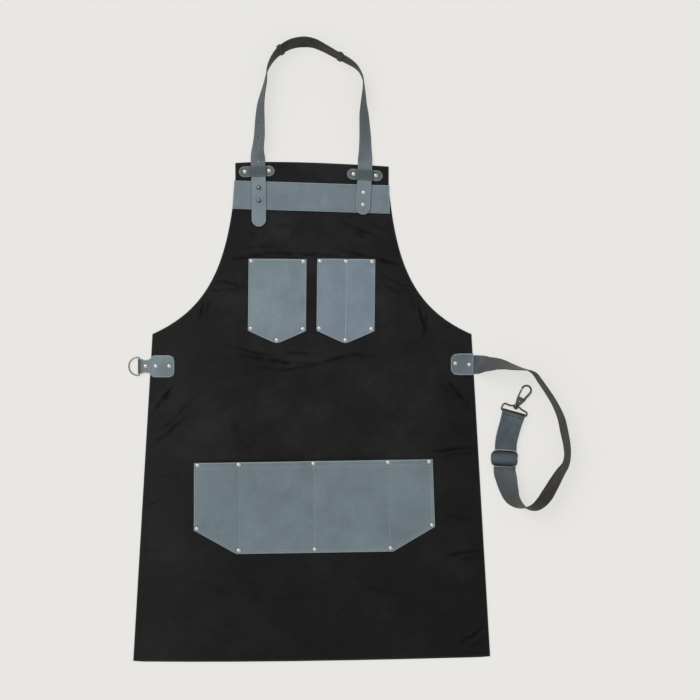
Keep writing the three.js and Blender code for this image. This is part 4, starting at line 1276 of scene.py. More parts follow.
def strap_frames(rows, width, step, fine=None):
    """Frames along a strap: point, across, face normal, and distance from its start.

    They are at even steps, except where fine gives a start, an end and a smaller step."""
    places, rolls = route_curve(rows, width)
    marks = path_marks(places)
    length = marks[-1]
    wanted = spaced(length, step)
    if fine:
        low, high, small = fine
        wanted = np.concatenate([wanted[wanted < low], np.arange(low, high, small), wanted[wanted > high]])
    reach = 0.0006
    tangents = unit(at_marks(places, marks, wanted + reach) - at_marks(places, marks, wanted - reach))
    across, normal = [], []
    side = np.zeros(3)
    for tangent, angle in zip(tangents, np.interp(wanted, marks, rolls)):
        if math.hypot(tangent[0], tangent[1]) > 0.5:
            following = unit(np.array([tangent[1], -tangent[0], 0]))
            side = -following if following @ side < 0 else following
        up = unit(np.cross(side, tangent))
        across.append(math.cos(angle) * side + math.sin(angle) * up)
        normal.append(unit(np.cross(across[-1], tangent)))
    return {
        "point": at_marks(places, marks, wanted), "across": np.array(across), "normal": np.array(normal),
        "mark": wanted, "length": float(length),
    }


def frame_at(frames, mark):
    """The point, across and normal of the frame that is nearest to a distance along a strap."""
    index = int(np.argmin(np.abs(frames["mark"] - mark)))
    return (frames[key][index] for key in ("point", "across", "normal"))


def strap_sheet(name, frames, half_at, thickness, materials, shade_rows, ripple=0.0, groove_at=()):
    """A leather strap with round edges along its frames. Its rows of painted shade are a distance along the strap and
    how deep the shade is there.
    """
    marks, length = frames["mark"], frames["length"]
    half = half_at(marks, length)
    widest = half.max()
    across = spaced(2 * widest, 0.0016)
    sideways = (across / widest - 1)[None, :] * half[:, None]
    inset = inset_grid(across, 2 * widest, marks, length, (half / widest)[:, None])
    lift = -0.00018 * np.exp(-((inset - 0.0028) / 0.0006) ** 2)
    stamp = np.stack(np.broadcast_arrays(marks[:, None], sideways), -1)
    lift = lift + ripple * rough(stamp, 0.018, 4.0) + 0.5 * ripple * rough(stamp, 0.006, 8.0)
    for mark in groove_at:
        lift = lift - 0.0003 * np.exp(-((marks[:, None] - mark) / 0.0008) ** 2)
    half_thick = rounded(inset, thickness)
    middle = frames["point"][:, None] + frames["across"][:, None] * sideways[..., None]
    normal = frames["normal"][:, None]
    front = middle + normal * (half_thick + lift * (inset > 0))[..., None]
    back = middle - normal * half_thick[..., None]
    worn = np.clip(1 - (inset - 0.0003) / 0.0014, 0, 1)
    piece = closed_sheet(name, front, back, materials, worn)
    # painted shade along the strap, from the rows
    painted(piece, "painted_shade", np.broadcast_to(looked_up(marks, shade_rows)[:, None], inset.shape))
    return piece


NECK_ROUTE = [
    (-0.0922, 0.7519, NECK_LEVEL, 0), (-0.0922, 0.7973, NECK_LEVEL, 0), (-0.0922, 0.8199, NECK_LEVEL, 0),
    (-0.0934, 0.8474, NECK_LEVEL, 0), (-0.0938, 0.868, NECK_LEVEL, 0), (-0.0941, 0.8800, 0.0024, 24),
    (-0.0931, 0.8920, 0.0016, 36), (-0.0912, 0.9080, 0.0015, 40), (-0.0903, 0.9340, 0.0014, 47),
    (-0.0887, 0.9620, 0.0012, 58), (-0.0856, 0.9799, 0.0010, 68), (-0.0809, 1.0004, 0.0006, 76),
    (-0.0764, 1.0256, 0.0003, 90), (-0.0667, 1.0442, 0.0006, 102), (-0.0539, 1.0578, 0.0010, 114),
    (-0.0354, 1.0681, 0.0012, 121), (-0.0133, 1.0717, 0.0013, 125), (0.0041, 1.0690, 0.0013, 119),
    (0.0228, 1.0602, 0.0011, 112), (0.0413, 1.0499, 0.0010, 109), (0.0613, 1.0393, 0.0010, 106),
    (0.0756, 1.0296, 0.0006, 98), (0.0835, 1.0200, 0.0004, 91), (0.0886, 1.0080, 0.0003, 90),
    (0.0903, 0.9918, 0.0005, 84), (0.0900, 0.9657, 0.0011, 68), (0.0905, 0.9466, 0.0013, 52),
    (0.0924, 0.9100, 0.0015, 39), (0.0927, 0.8850, 0.0020, 29), (0.0926, 0.8760, 0.0026, 20),
    (0.0924, 0.866, NECK_LEVEL, 0), (0.0922, 0.856, NECK_LEVEL, 0), (0.0919, 0.842, NECK_LEVEL, 0),
    (0.0898, 0.811, NECK_LEVEL, 0), (0.0887, 0.790, NECK_LEVEL, 0), (0.0894, 0.7727, NECK_LEVEL, 0),
]
STUD_SPOTS = [(-0.0922, 0.8199), (-0.0922, 0.7973)]
NECK_END_SPOTS = [(0.0898, 0.811), (0.0887, 0.790)]
PUNCHED = [0.114, 0.137, 0.156, 0.182]  # distances of the spare holes from the strap's start
LOOP_MARKS = {"neck_loop_left": 0.314, "neck_loop_right": 0.428}
RIVET_HOLE = 0.0014
STUD_HOLE = 0.0021

HOOK_BAR = (0.3506, 0.4283)
BAR_LEVEL = 0.0047
HOOK_TURN = -15.6
HOOK_PITCH = -3
WIRE = 0.0022
FOLD_RADIUS = WIRE / 2 + 0.00045 + WAIST_THICK / 2


def fold_rows():
    """Half a turn of the waist strap round the hook eye's bar, as route rows."""
    turn = math.radians(HOOK_TURN)
    rows = []
    for degrees in (90, 54, 18, -18, -54, -90):
        angle = math.radians(degrees)
        ahead = math.cos(angle) * FOLD_RADIUS
        level = BAR_LEVEL + math.sin(angle) * FOLD_RADIUS
        rows.append((HOOK_BAR[0] - math.sin(turn) * ahead, HOOK_BAR[1] + math.cos(turn) * ahead, level, 0))
    return rows


WAIST_ROUTE = [
    (0.247, 0.5125, WAIST_LOW, 0), (0.262, 0.5124, WAIST_LOW, 0), (0.277, 0.5123, WAIST_LOW, 0),
    (0.286, 0.5123, WAIST_LOW + 0.0001, 1), (0.3040, 0.5131, 0.0016, 44), (0.3184, 0.5138, 0.0016, 56),
    (0.3337, 0.5121, 0.0014, 66), (0.3464, 0.5088, 0.0009, 74), (0.3621, 0.5054, 0.0005, 84),
    (0.3746, 0.5027, 0.0003, 90), (0.3854, 0.4966, 0.0005, 95), (0.3947, 0.4838, 0.0006, 97),
    (0.4078, 0.4647, 0.0007, 98), (0.4201, 0.4446, 0.0008, 99), (0.4311, 0.4198, 0.0008, 102),
    (0.4365, 0.3956, 0.0008, 103), (0.4409, 0.3731, 0.0007, 101), (0.4418, 0.3534, 0.0007, 98),
    (0.4386, 0.3394, 0.0008, 100), (0.4299, 0.3263, 0.0009, 106), (0.4193, 0.3080, 0.0010, 112),
    (0.4070, 0.2869, 0.0012, 116), (0.3971, 0.2742, 0.0010, 112), (0.3857, 0.2658, 0.0006, 103),
    (0.3721, 0.2640, 0.0003, 89), (0.3591, 0.2698, 0.0009, 69), (0.3472, 0.2823, 0.0018, 47),
    (0.3407, 0.2993, 0.0024, 33), (0.3372, 0.3148, 0.0046, 18), (0.3344, 0.327, WAIST_HIGH, 0),
    (0.3348, 0.336, WAIST_HIGH, 0), (0.3355, 0.3497, WAIST_HIGH, 0), (0.3363, 0.365, WAIST_HIGH, 0),
    (0.3372, 0.378, WAIST_HIGH, 0), (0.3406, 0.393, WAIST_HIGH, 0), (0.3451, 0.409, WAIST_HIGH, 0),
    *fold_rows(), (0.3451, 0.409, BAR_LEVEL - FOLD_RADIUS, 0), (0.3406, 0.393, BAR_LEVEL - FOLD_RADIUS, 0),
    (0.3376, 0.380, BAR_LEVEL - FOLD_RADIUS, 0),
]
PATCH_SPOTS = [(0.2492, 0.5142), (0.2735, 0.5121)]


# Painted shade on each strap at distances from its start: deeper where the strap rolls onto its edge, and above 1 the
# shadow of its folded end round the hook eye's bar
NECK_PAINTED_SHADE = [(0, 0), (0.090, 0), (0.103, 0.45), (0.150, 0.60), (0.215, 0.76), (0.275, 0.95), (0.330, 1),
               (0.450, 1), (0.500, 0.95), (0.550, 0.62), (0.600, 0.42), (0.642, 0.30), (0.655, 0)]
WAIST_PAINTED_SHADE = [(0.025, 0), (0.042, 0.35), (0.060, 0.62), (0.085, 0.92), (0.115, 1), (0.405, 1), (0.435, 0.8),
                (0.470, 0.55), (0.515, 0.40), (0.535, 0.1), (0.6025, 0), (0.6052, 1.9), (0.620, 1.9)]


def neck_half(marks, length):
    """Half the neck strap's width: its ends are half round."""
    end = NECK_WIDTH / 2
    from_tip = np.minimum(np.minimum(marks, length - marks), end)
    return np.maximum(np.sqrt(np.clip(end ** 2 - (end - from_tip) ** 2, 0, None)), 0.0012)


def straight_cutter(x, y, radius, material=CUT_EDGE):
    """A round cutter for a hole straight down."""
    low, high = -0.01, 0.02
    profile = [(0, low), (radius, low), (radius, high), (0, high)]
    return turned("cutter", profile, (x, y, 0), [material], sides=20)


def punched_hole(frames, mark):
    """A small hole square through the strap, with a wide bevel pressed in round its mouth, its walls nearly black as a
    painted shade.
    """
    point, _, normal = frame_at(frames, mark)
    turn = Vector((0, 0, 1)).rotation_difference(Vector(normal)).to_matrix()
    profile = [(0, -0.005), (0.0011, -0.005), (0.0011, 0.0001), (0.0019, 0.0009), (0.0019, 0.005), (0, 0.005)]
    return turned("cutter", profile, point, [HOLE_SHADE], sides=20, turn=turn)


def build_neck_strap():
    """The neck strap, with its punched holes and the holes for its studs and rivets."""
    frames = strap_frames(NECK_ROUTE, NECK_WIDTH, 0.0028)
    strap = strap_sheet("neck_strap_leather", frames, neck_half, NECK_THICK,
                        [STRAP_LEATHER, RAW_BACK, CUT_EDGE], NECK_PAINTED_SHADE, ripple=0.00012)
    cutters = [punched_hole(frames, mark) for mark in PUNCHED]
    cutters += [straight_cutter(*spot, STUD_HOLE) for spot in STUD_SPOTS]
    cutters += [straight_cutter(*spot, RIVET_HOLE) for spot in NECK_END_SPOTS]
    cut(strap, cutters)
    fitted(strap, "strap_leather", "neck_strap")
    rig.cord(strap, exit=frames["point"][0], length=round(frames["length"], 4), diameter=NECK_WIDTH,
            far_end="object", stiffness="stiff", lay="loose", path=frames["point"][::3])
    return frames


FOLD_START = 0.6038
FOLD_SEAM = FOLD_START - 0.0043


def waist_half(marks, _):
    """Half the waist strap's width: pinched beside its patch, and pressed wider round the eye's bar."""
    pinched = 0.0027 * np.exp(-((marks - 0.042) / 0.034) ** 2)
    return WAIST_WIDTH / 2 - pinched + 0.0016 * np.exp(-((marks - FOLD_START - 0.004) / 0.013) ** 2)


def fold_seam_path(frames):
    """The line of sewing across the strap that holds its folded end."""
    point, across, normal = frame_at(frames, FOLD_SEAM)
    reach = np.linspace(-0.0185, 0.0185, 30)[:, None]
    return point + reach * across + normal * WAIST_THICK * 0.46


def build_waist_strap():
    """The waist strap with its folded end, and the sewing that holds the fold."""
    fine = (FOLD_START - 0.010, FOLD_START + 0.018, 0.0005)
    frames = strap_frames(WAIST_ROUTE, WAIST_WIDTH, 0.0028, fine)
    strap = strap_sheet("waist_strap_leather", frames, waist_half, WAIST_THICK,
                        [WAIST_LEATHER, WAIST_BACK, CUT_EDGE], WAIST_PAINTED_SHADE, ripple=0.00013,
                        groove_at=[FOLD_SEAM])
    cut(strap, [straight_cutter(*spot, RIVET_HOLE) for spot in PATCH_SPOTS])
    fitted(strap, "strap_leather", "waist_strap")
    seam_path = fold_seam_path(frames)
    seam = stitches("waist_fold_stitches", [seam_path], FOLD_PITCH, FOLD_STITCH, FOLD_THREAD, BLACK_THREAD)
    fitted(seam, "strap_leather")
    return strap, frames


def rounded_box(sides, reach, power):
    """Points of a rounded rectangle that reaches so far each way: the lower the power, the squarer."""
    angles = round_angles(sides)
    waves = np.stack([np.cos(angles), np.sin(angles)], 1)
    return np.sign(waves) * np.abs(waves) ** power * reach


def loop_band(name, frames, mark, node):
    """A leather loop wrapped once round the neck strap."""
    point, across, normal = frame_at(frames, mark)
    along = np.cross(across, normal)
    ring = rounded_box(72, [NECK_WIDTH / 2 + 0.0009, NECK_THICK / 2 + 0.0010], 0.22)
    centres = point + ring[:, :1] * across + ring[:, 1:] * normal
    tangent = unit(np.roll(centres, -1, 0) - np.roll(centres, 1, 0))
    sides = np.broadcast_to(along, tangent.shape)
    half = 0.0040
    section = rounded_box(24, [half, LEATHER * 0.42], [0.25, 0.5])
    worn = np.clip(np.abs(section[:, 0]) / half - 0.9, 0, 0.1) * 10
    band = swept(name, centres, sides, np.cross(tangent, sides), section, [LOOP_LEATHER], worn, closed=True)
    return fitted(band, "strap_leather", node)


# ------------------------------------------------------------------ keepers, tab and patch

def arc(x, y, radius, angles):
    """Points round (x, y) at angles in degrees."""
    return [(x + math.cos(math.radians(a)) * radius, y + math.sin(math.radians(a)) * radius) for a in angles]


def ribbon(path, half, thickness, step=0.0012):
    """The front, back and worn edges of a leather ribbon along a path in the XZ plane.

    half gives its half width from x and from the share of the path."""
    path = np.array(path, float)
    marks = path_marks(path)
    wanted = spaced(marks[-1], step)
    x, z = at_marks(path, marks, wanted).T
    z[1:-1] = np.convolve(z, np.ones(3) / 3, "valid")
    tangent = unit(np.stack([np.gradient(x, wanted), np.zeros(len(x)), np.gradient(z, wanted)], 1))
    normal = np.stack([-tangent[:, 2], np.zeros(len(x)), tangent[:, 0]], 1)
    width = np.array([half(value, mark / marks[-1]) for value, mark in zip(x, wanted)])
    widest = width.max()
    across = spaced(2 * widest, 0.0013)
    sideways = (across / widest - 1)[None, :] * width[:, None]
    inset = inset_grid(across, 2 * widest, wanted, marks[-1], (width / widest)[:, None])
    half_thick = rounded(inset, thickness)
    middle = np.stack(np.broadcast_arrays(x[:, None], sideways, z[:, None]), -1)
    crease = -0.00016 * np.exp(-((inset - 0.0022) / 0.0005) ** 2)
    front = middle + normal[:, None] * (half_thick + crease)[..., None]
    back = middle - normal[:, None] * half_thick[..., None]
    worn = np.clip(1 - (inset - 0.0003) / 0.0015, 0, 1)
    return front, back, worn


def stadium(reach, end):
    """Half width of a strip with half-round ends that lie at x = -reach and x = reach."""
    def half(x, _):
        left = min(reach - abs(x), end)
        return max(math.sqrt(max(end ** 2 - (end - left) ** 2, 0)), 0.0008)
    return half


def keeper(name, spot, offset, node):
    """A stadium-shaped strip that steps up over the neck strap, whose middle is at the offset."""
    reach, end = 0.031, 0.00925
    low = TRIM + LEATHER / 2
    high = ON_STRAP + LEATHER / 2
    inner = NECK_WIDTH / 2 + 0.0016
    step = [(inner + 0.0016, low), (inner + 0.0004, low + 0.0006), (inner - 0.0002, high - 0.0006),
            (inner - 0.0014, high)]
    up = [(offset - x, z) for x, z in step]
    down = [(offset + x, z) for x, z in step[::-1]]
    path = [(-reach, low), *up, (offset, high + 0.0002), *down, (reach, low)]
    front, back, worn = ribbon(path, stadium(reach, end), LEATHER)
    materials = [KEEPER_LEATHER, RAW_BACK, KEEPER_LEATHER]
    piece = closed_sheet(name, spot.out(front), spot.out(back), materials, worn)
    # painted shade on the part that bridges the neck strap
    painted(piece, "painted_shade", np.clip((front[..., 2] - 0.0046) / 0.0016, 0, 0.85))
    return fitted(piece, "strap_leather", node)


TAB_END = -0.2395


def tab_half(x, share):
    """Half width of the D-ring's tab: narrow at the ring, wide and round-cornered on the canvas."""
    back_leaf = 0.42
    if share < back_leaf:
        return 0.0128 if x < RING_X + 0.006 else 0.0112
    rows = [(-0.306, 0.0132), (-0.297, 0.0130), (-0.2925, 0.0115), (-0.2835, 0.0118), (-0.2775, 0.0178),
            (-0.2740, 0.0190), (-0.2485, 0.0190), (-0.2430, 0.0172), (-0.2405, 0.0142), (TAB_END, 0.0095)]
    return looked_up(x, rows)


def ring_tab():
    """One leather strip: short leaf behind the canvas, round the ring's bar, long leaf in front."""
    leaf = 0.0012
    turn = WIRE / 2 + 0.00038 + leaf / 2
    low, high = 0.0016, TRIM + leaf / 2
    path = [
        (RING_X + 0.016, low), (RING_X + 0.007, low),
        *arc(RING_X, RING_LEVEL, turn, range(-60, -301, -20)),
        (RING_X + 0.007, high), (TAB_END, high),
    ]
    front, back, worn = ribbon(path, tab_half, leaf, step=0.0007)
    shift = np.array([0, RING_Y, 0])
    materials = [TAB_LEATHER, RAW_BACK, TAB_LEATHER]
    piece = closed_sheet("d_ring_tab_leather", front + shift, back + shift, materials, worn)
    # painted shadow where the tab folds round the ring's bar
    painted(piece, "painted_shade", np.clip((RING_X + 0.0042 - front[..., 0]) / 0.0035, 0, 0.85))
    return fitted(piece, "grey_leather", "d_ring_tab")


PATCH_LOW = TRIM + WAIST_THICK + GAP


def waist_patch():
    """The square patch, with its inner corners rounded, that clamps the waist strap's end."""
    left, right, low, high = 0.2415, 0.2806, 0.4942, 0.5316
    half = (high - low) / 2

    def width(x, _):
        rows = [(left, half - 0.0088), (left + 0.0012, half - 0.0056), (left + 0.0034, half - 0.0031),
                (left + 0.0066, half - 0.0015), (left + 0.012, half - 0.0004), (left + 0.016, half),
                (right - 0.001, half), (right, half - 0.0008)]
        return looked_up(x, rows)

    level = PATCH_LOW + LEATHER / 2
    front, back, worn = ribbon([(left, level), (right, level)], width, LEATHER)
    shift = np.array([0, (low + high) / 2, 0])
    piece = closed_sheet("waist_patch_leather", front + shift, back + shift,
                         [PATCH_LEATHER, RAW_BACK, PATCH_LEATHER], worn)
    return fitted(piece, "grey_leather", "waist_patch")


# ------------------------------------------------------------------ metalwork

def smooth_closed(corners, count, rounds):
    """A closed path past corners that are cut off in rounds, as evenly spaced points."""
    points = np.array(corners, float)
    for _ in range(rounds):
        after = np.roll(points, -1, 0)
        points = np.stack([points * 0.75 + after * 0.25, points * 0.25 + after * 0.75], 1).reshape(-1, 2)
    loop = np.concatenate([points, points[:1]])
    marks = path_marks(loop)
    return at_marks(loop, marks, np.linspace(0, marks[-1], count, endpoint=False))


def moved(x, y, z):
    return Matrix.Translation((x, y, z))


def rotated(degrees, axis):
    return Matrix.Rotation(math.radians(degrees), 4, axis)


HOOK_KNOB = (0.0012, 0.0128)
HOOK_LEAN = -11.4
RING_PITCH = -4.5
RING_MATRIX = moved(RING_X, RING_Y, RING_LEVEL) @ rotated(RING_PITCH, "Y")
EYE_MATRIX = moved(*HOOK_BAR, BAR_LEVEL) @ rotated(HOOK_TURN, "Z") @ rotated(HOOK_PITCH, "X")
HOOK_MATRIX = EYE_MATRIX @ moved(*HOOK_KNOB, 0) @ rotated(HOOK_LEAN, "Z")


def d_ring():
    """A bent wire with a straight bar in the tab and a round bow."""
    half, depth = 0.0147, 0.0183
    share = np.linspace(0, 1, 36, endpoint=False)
    straight = np.array([0, -half]) + share[:, None] * np.array([0, 2 * half])
    upper = cubic([(0, half), (-0.0055, half + 0.0028), (-depth, half - 0.0017), (-depth, 0)], share)
    lower = cubic([(-depth, 0), (-depth, 0.0017 - half), (-0.0055, -half - 0.0028), (0, -half)], share)
    path = with_level(np.concatenate([straight, upper, lower]), 0.0)
    piece = wire("d_ring_wire", placed(path, RING_MATRIX), WIRE / 2, [RING_METAL], closed=True, wide=1.25)
    return fitted(piece, "nickel", "d_ring", body="d_ring")


SLIDER_MIDDLE = (0.3339, 0.3497)
SLIDER_TURN = -3
SLIDER_HALF = 0.0222
SLIDER_REACH = 0.0138
CENTRE_BAR = 0.0035
END_BAR = UNDER_STRAP + WAIST_THICK + 0.00035 + WIRE / 2
RAIL_RISE = 0.0085
SLIDER_MATRIX = moved(*SLIDER_MIDDLE, 0) @ rotated(SLIDER_TURN, "Z")


def slider():
    """The tri-glide: a wire loop whose end bars stand over the strap, and a low centre bar."""
    corner = 0.0052
    x, y = SLIDER_HALF, SLIDER_REACH
    outline = smooth_closed([
        (-x, -y + corner), (-x + corner, -y), (0, -y), (x - corner, -y), (x, -y + corner), (x, 0),
        (x, y - corner), (x - corner, y), (0, y), (-x + corner, y), (-x, y - corner), (-x, 0),
    ], rounds=4, count=160)
    share = np.clip(np.abs(outline[:, 1]) / RAIL_RISE, 0, 1)
    loop = placed(with_level(outline, CENTRE_BAR + (END_BAR - CENTRE_BAR) * share), SLIDER_MATRIX)
    # a painted highlight along the loop's outer edge
    around = wire("slider_loop", loop, WIRE / 2, [GUNMETAL], closed=True, wide=1.4, sides=20, wear_and_highlight=1.0)
    bar = np.linspace((-x, 0, CENTRE_BAR), (x, 0, CENTRE_BAR), 12)
    centre = wire("slider_bar", placed(bar, SLIDER_MATRIX), WIRE / 2, [GUNMETAL])
    return fitted(joined("slider_metal", [around, centre]), "gunmetal", "slider_frame", body="slider")


def slider_strip(name, across, along, level, normal, half_thick, leather):
    """A leather strip on the slider. normal gives each row's direction out of its face."""
    middle = np.stack(np.broadcast_arrays(across, along[:, None], level[:, None]), -1)
    rise = normal[:, None] * half_thick[..., None]
    front, back = placed(middle + rise, SLIDER_MATRIX), placed(middle - rise, SLIDER_MATRIX)
    return closed_sheet(name, front, back, [leather, RAW_BACK, CUT_EDGE])


def slider_sleeve():
    """The strap's own end, sewn round the centre bar, with a short tongue towards the hook."""
    outer, inner = 0.00228, WIRE / 2 + 0.0003
    half = 0.018
    under = -0.00165
    path = np.array([(0.012, under), (0.0035, under), *arc(0, 0, (outer + inner) / 2, range(-50, -390, -20))])
    marks = path_marks(path)
    wanted = spaced(marks[-1], 0.0008)
    along, level = at_marks(path, marks, wanted).T
    tangent = unit(np.stack([np.gradient(along, wanted), np.gradient(level, wanted)], 1))
    normal = np.stack([np.zeros(len(along)), tangent[:, 1], -tangent[:, 0]], 1)
    across = spaced(2 * half, 0.0018)
    half_thick = rounded(inset_grid(across, 2 * half, wanted, marks[-1]), outer - inner)
    sideways = across - half
    level = CENTRE_BAR + level
    piece = slider_strip("slider_sleeve_leather", sideways, along, level, normal, half_thick, WAIST_LEATHER)
    return fitted(piece, "strap_leather", "slider_sleeve", body="slider")


def slider_roll():
    """The leather that bulges up between the slider's end bars."""
    reach, half = 0.0119, 0.0216
    wanted = spaced(2 * reach, 0.0009)
    along = wanted - reach
    share = along / reach
    level = 0.0080 + 0.0028 * np.sqrt(np.clip(1 - share ** 2, 0, 1))
    normal = unit(np.stack([np.zeros(len(along)), -np.gradient(level, along), np.ones(len(along))], 1))
    across = spaced(2 * half, 0.0016)
    half_thick = rounded(inset_grid(across, 2 * half, wanted, 2 * reach), 0.0009)
    narrowing = 1 - 0.075 * np.clip(np.abs(along) / 0.0095, 0, 1) ** 2
    sideways = (across - half)[None, :] * narrowing[:, None]
    piece = slider_strip("slider_roll_leather", sideways, along, level, normal, half_thick, ROLL_LEATHER)
    # painted shade, deepest next to the end bars
    shade = np.clip(np.abs(share) ** 2.2 + 0.15, 0, 1)
    painted(piece, "painted_shade", np.broadcast_to(shade[:, None], half_thick.shape))
    return fitted(piece, "strap_leather", body="slider")


def hook_eye():
    """The wide wire eye with its knob and the collar that the hook turns in."""
    outline = smooth_closed([
        (-0.0205, 0), (0, 0), (0.0205, 0), (0.0226, 0.0010), (0.0226, 0.0052), (0.0200, 0.0074),
        (0.0123, 0.0088), (0.0078, 0.0112), (0.0045, 0.0128), (0.0010, 0.0128), (-0.0030, 0.0126),
        (-0.0098, 0.0106), (-0.0160, 0.0118), (-0.0195, 0.0120), (-0.0220, 0.0090), (-0.0226, 0.0045),
        (-0.0226, 0.0010),
    ], rounds=3, count=170)
    path = placed(with_level(outline, 0.0), EYE_MATRIX)
    loop = wire("eye_loop", path, WIRE / 2, [HOOK_METAL], closed=True, wide=1.45)
    collar = hook_collar(HOOK_MATRIX @ Matrix.Diagonal((1.24, 1, 1, 1)))
    return fitted(joined("hook_eye_metal", [loop, collar]), "gunmetal", "hook_eye", body="hook_eye")


def hook_collar(matrix):
    """A lathed ring about the matrix's own Y axis."""
    sides = 28
    profile = np.array([
        (0.0015, -0.0017), (0.0032, -0.0017), (0.0039, -0.0012), (0.0041, 0), (0.0039, 0.0012),
        (0.0032, 0.0017), (0.0015, 0.0017),
    ])
    angles = round_angles(sides)
    points = np.stack([
        np.outer(np.cos(angles), profile[:, 0]),
        np.repeat(profile[None, :, 1], sides, 0),
        np.outer(np.sin(angles), profile[:, 0]),
    ], -1)
    ids = tube_ids(sides, len(profile), closed=True)
    return new_piece("eye_collar", placed(points.reshape(-1, 3), matrix), quads(ids), [HOOK_METAL])


ABOUT_Y = rotated(-90, "X")  # turns a lathed piece's +Z to the hook's +Y
HOOK_WIRE = 0.00175
CHEEK = 0.0026
PIVOT = (0.0018, 0.0095)
PIVOT_HOLE = 0.0017


def bevelled_plate(name, outline, half, bevel):
    """A flat metal plate with rounded edges and a hole for the pivot pin, from an outline."""
    outline = smooth_closed(outline, count=90, rounds=2)
    count = len(outline)
    points = np.concatenate([with_level(outline, -half), with_level(outline, half)])
    faces = [list(range(count))[::-1], list(range(count, 2 * count))]
    faces += [[i, (i + 1) % count, count + (i + 1) % count, count + i] for i in range(count)]
    piece = new_piece(name, points, faces, [HOOK_METAL])
    cut(piece, [straight_cutter(*PIVOT, PIVOT_HOLE, HOOK_METAL)])
    modified(piece, "BEVEL", width=bevel, segments=3, limit_method="ANGLE")
    return piece


def box_cutter(low, high):
    """A box between two corners, to cut with."""
    corners = [(x, y, z) for z in (low[2], high[2]) for y in (low[1], high[1]) for x in (low[0], high[0])]
    faces = [(0, 2, 3, 1), (4, 5, 7, 6), (0, 1, 5, 4), (2, 6, 7, 3), (0, 4, 6, 2), (1, 3, 7, 5)]
    return new_piece("cutter", corners, faces, [HOOK_METAL])


def hook_body():
    """The snap hook's swivel head, its slotted fork and its bow."""
    profile = [(0, -0.0061), (0.0014, -0.0060), (0.0027, -0.0056), (0.0036, -0.0049), (0.0042, -0.0041),
               (0.0045, -0.0033), (0.0045, -0.0025), (0.0042, -0.0020), (0.0034, -0.0019), (0.0012, -0.0019),
               (0.0012, 0.0025), (0, 0.0026)]
    head = turned("hook_head", profile, (0, 0, 0), [HOOK_METAL], turn=ABOUT_Y)
    head.data.transform(HOOK_MATRIX)
    fork = bevelled_plate("hook_fork", [
        (-0.0036, 0.0019), (0.0002, 0.0018), (0.0042, 0.0019), (0.0060, 0.0060), (0.0082, 0.0115),
        (0.0100, 0.0165), (0.0094, 0.0173), (0.0020, 0.0174), (-0.0056, 0.0173), (-0.0062, 0.0165),
        (-0.0050, 0.0110), (-0.0040, 0.0060),
    ], CHEEK, 0.0008)
    cut(fork, [box_cutter((-0.012, 0.006, -0.0012), (0.005, 0.019, 0.0012))])
    fork.data.transform(HOOK_MATRIX)
    rows = [(0.0066, 0.0120), (0.0074, 0.0165), (0.0086, 0.022), (0.0108, 0.029), (0.0112, 0.034),
            (0.0086, 0.0386), (0.004, 0.0406), (-0.0006, 0.0394), (-0.0039, 0.0362), (-0.005, 0.0317)]
    path, _ = route_curve([(x, y, 0, 0) for x, y in rows], 0)
    path = path[::5]
    share = np.linspace(0, 1, len(path))
    swell = 1.5 - 0.5 * np.clip(share / 0.5, 0, 1) + 0.2 * np.clip((share - 0.93) / 0.05, 0, 1)
    bow = wire("hook_bow", placed(path, HOOK_MATRIX), HOOK_WIRE, [HOOK_METAL], scale=swell, sides=18)
    return fitted(joined("hook_body_metal", [fork, head, bow]), "gunmetal", "hook_body", body="hook_body")


def hook_gate():
    """The sprung gate: a thumb piece that reaches from the fork to the bow's end."""
    gate = bevelled_plate("hook_gate_metal", [
        (0.0043, 0.0095), (0.0036, 0.0112), (0.0015, 0.0120), (-0.0026, 0.0142), (-0.0032, 0.0180),
        (-0.0034, 0.0240), (-0.0037, 0.0309), (-0.0048, 0.0312), (-0.0062, 0.0308), (-0.0062, 0.0240),
        (-0.0060, 0.0180), (-0.0054, 0.0130), (-0.0034, 0.0098), (-0.0012, 0.0072), (0.0012, 0.0066),
        (0.0032, 0.0072),
    ], 0.0009, 0.0004)
    gate.data.transform(HOOK_MATRIX)
    return fitted(gate, "gunmetal", "hook_gate", body="hook_gate")


def pivot_pin():
    """The gate's pin through the fork's cheeks, with a flat foot and a peened head."""
    foot = [(0, 0.0009), (0.0014, 0.0008), (0.0020, 0.0004), (0.0020, 0.0002), (0.0012, 0.0002)]
    head = [(0.0012, 0.0002), (0.0021, 0.0002), (0.0021, 0.0005), (0.0016, 0.0009), (0.0008, 0.00105),
            (0, 0.0011)]
    profile = [(radius, -CHEEK - rise) for radius, rise in foot]
    profile += [(radius, CHEEK + rise) for radius, rise in head]
    pin = turned("hook_pin_metal", profile, (*PIVOT, 0), [RING_METAL])
    pin.data.transform(HOOK_MATRIX)
    return fitted(pin, "nickel", "hook_pivot_pin", body="hook_body")


# ------------------------------------------------------------------ the apron

def build_floor():
    points = [(-6, -6, -0.0004), (6, -6, -0.0004), (6, 6, -0.0004), (-6, 6, -0.0004)]
    floor = new_piece("floor", points, [(0, 1, 2, 3)], [floor_finish()])
    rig.stage(floor)


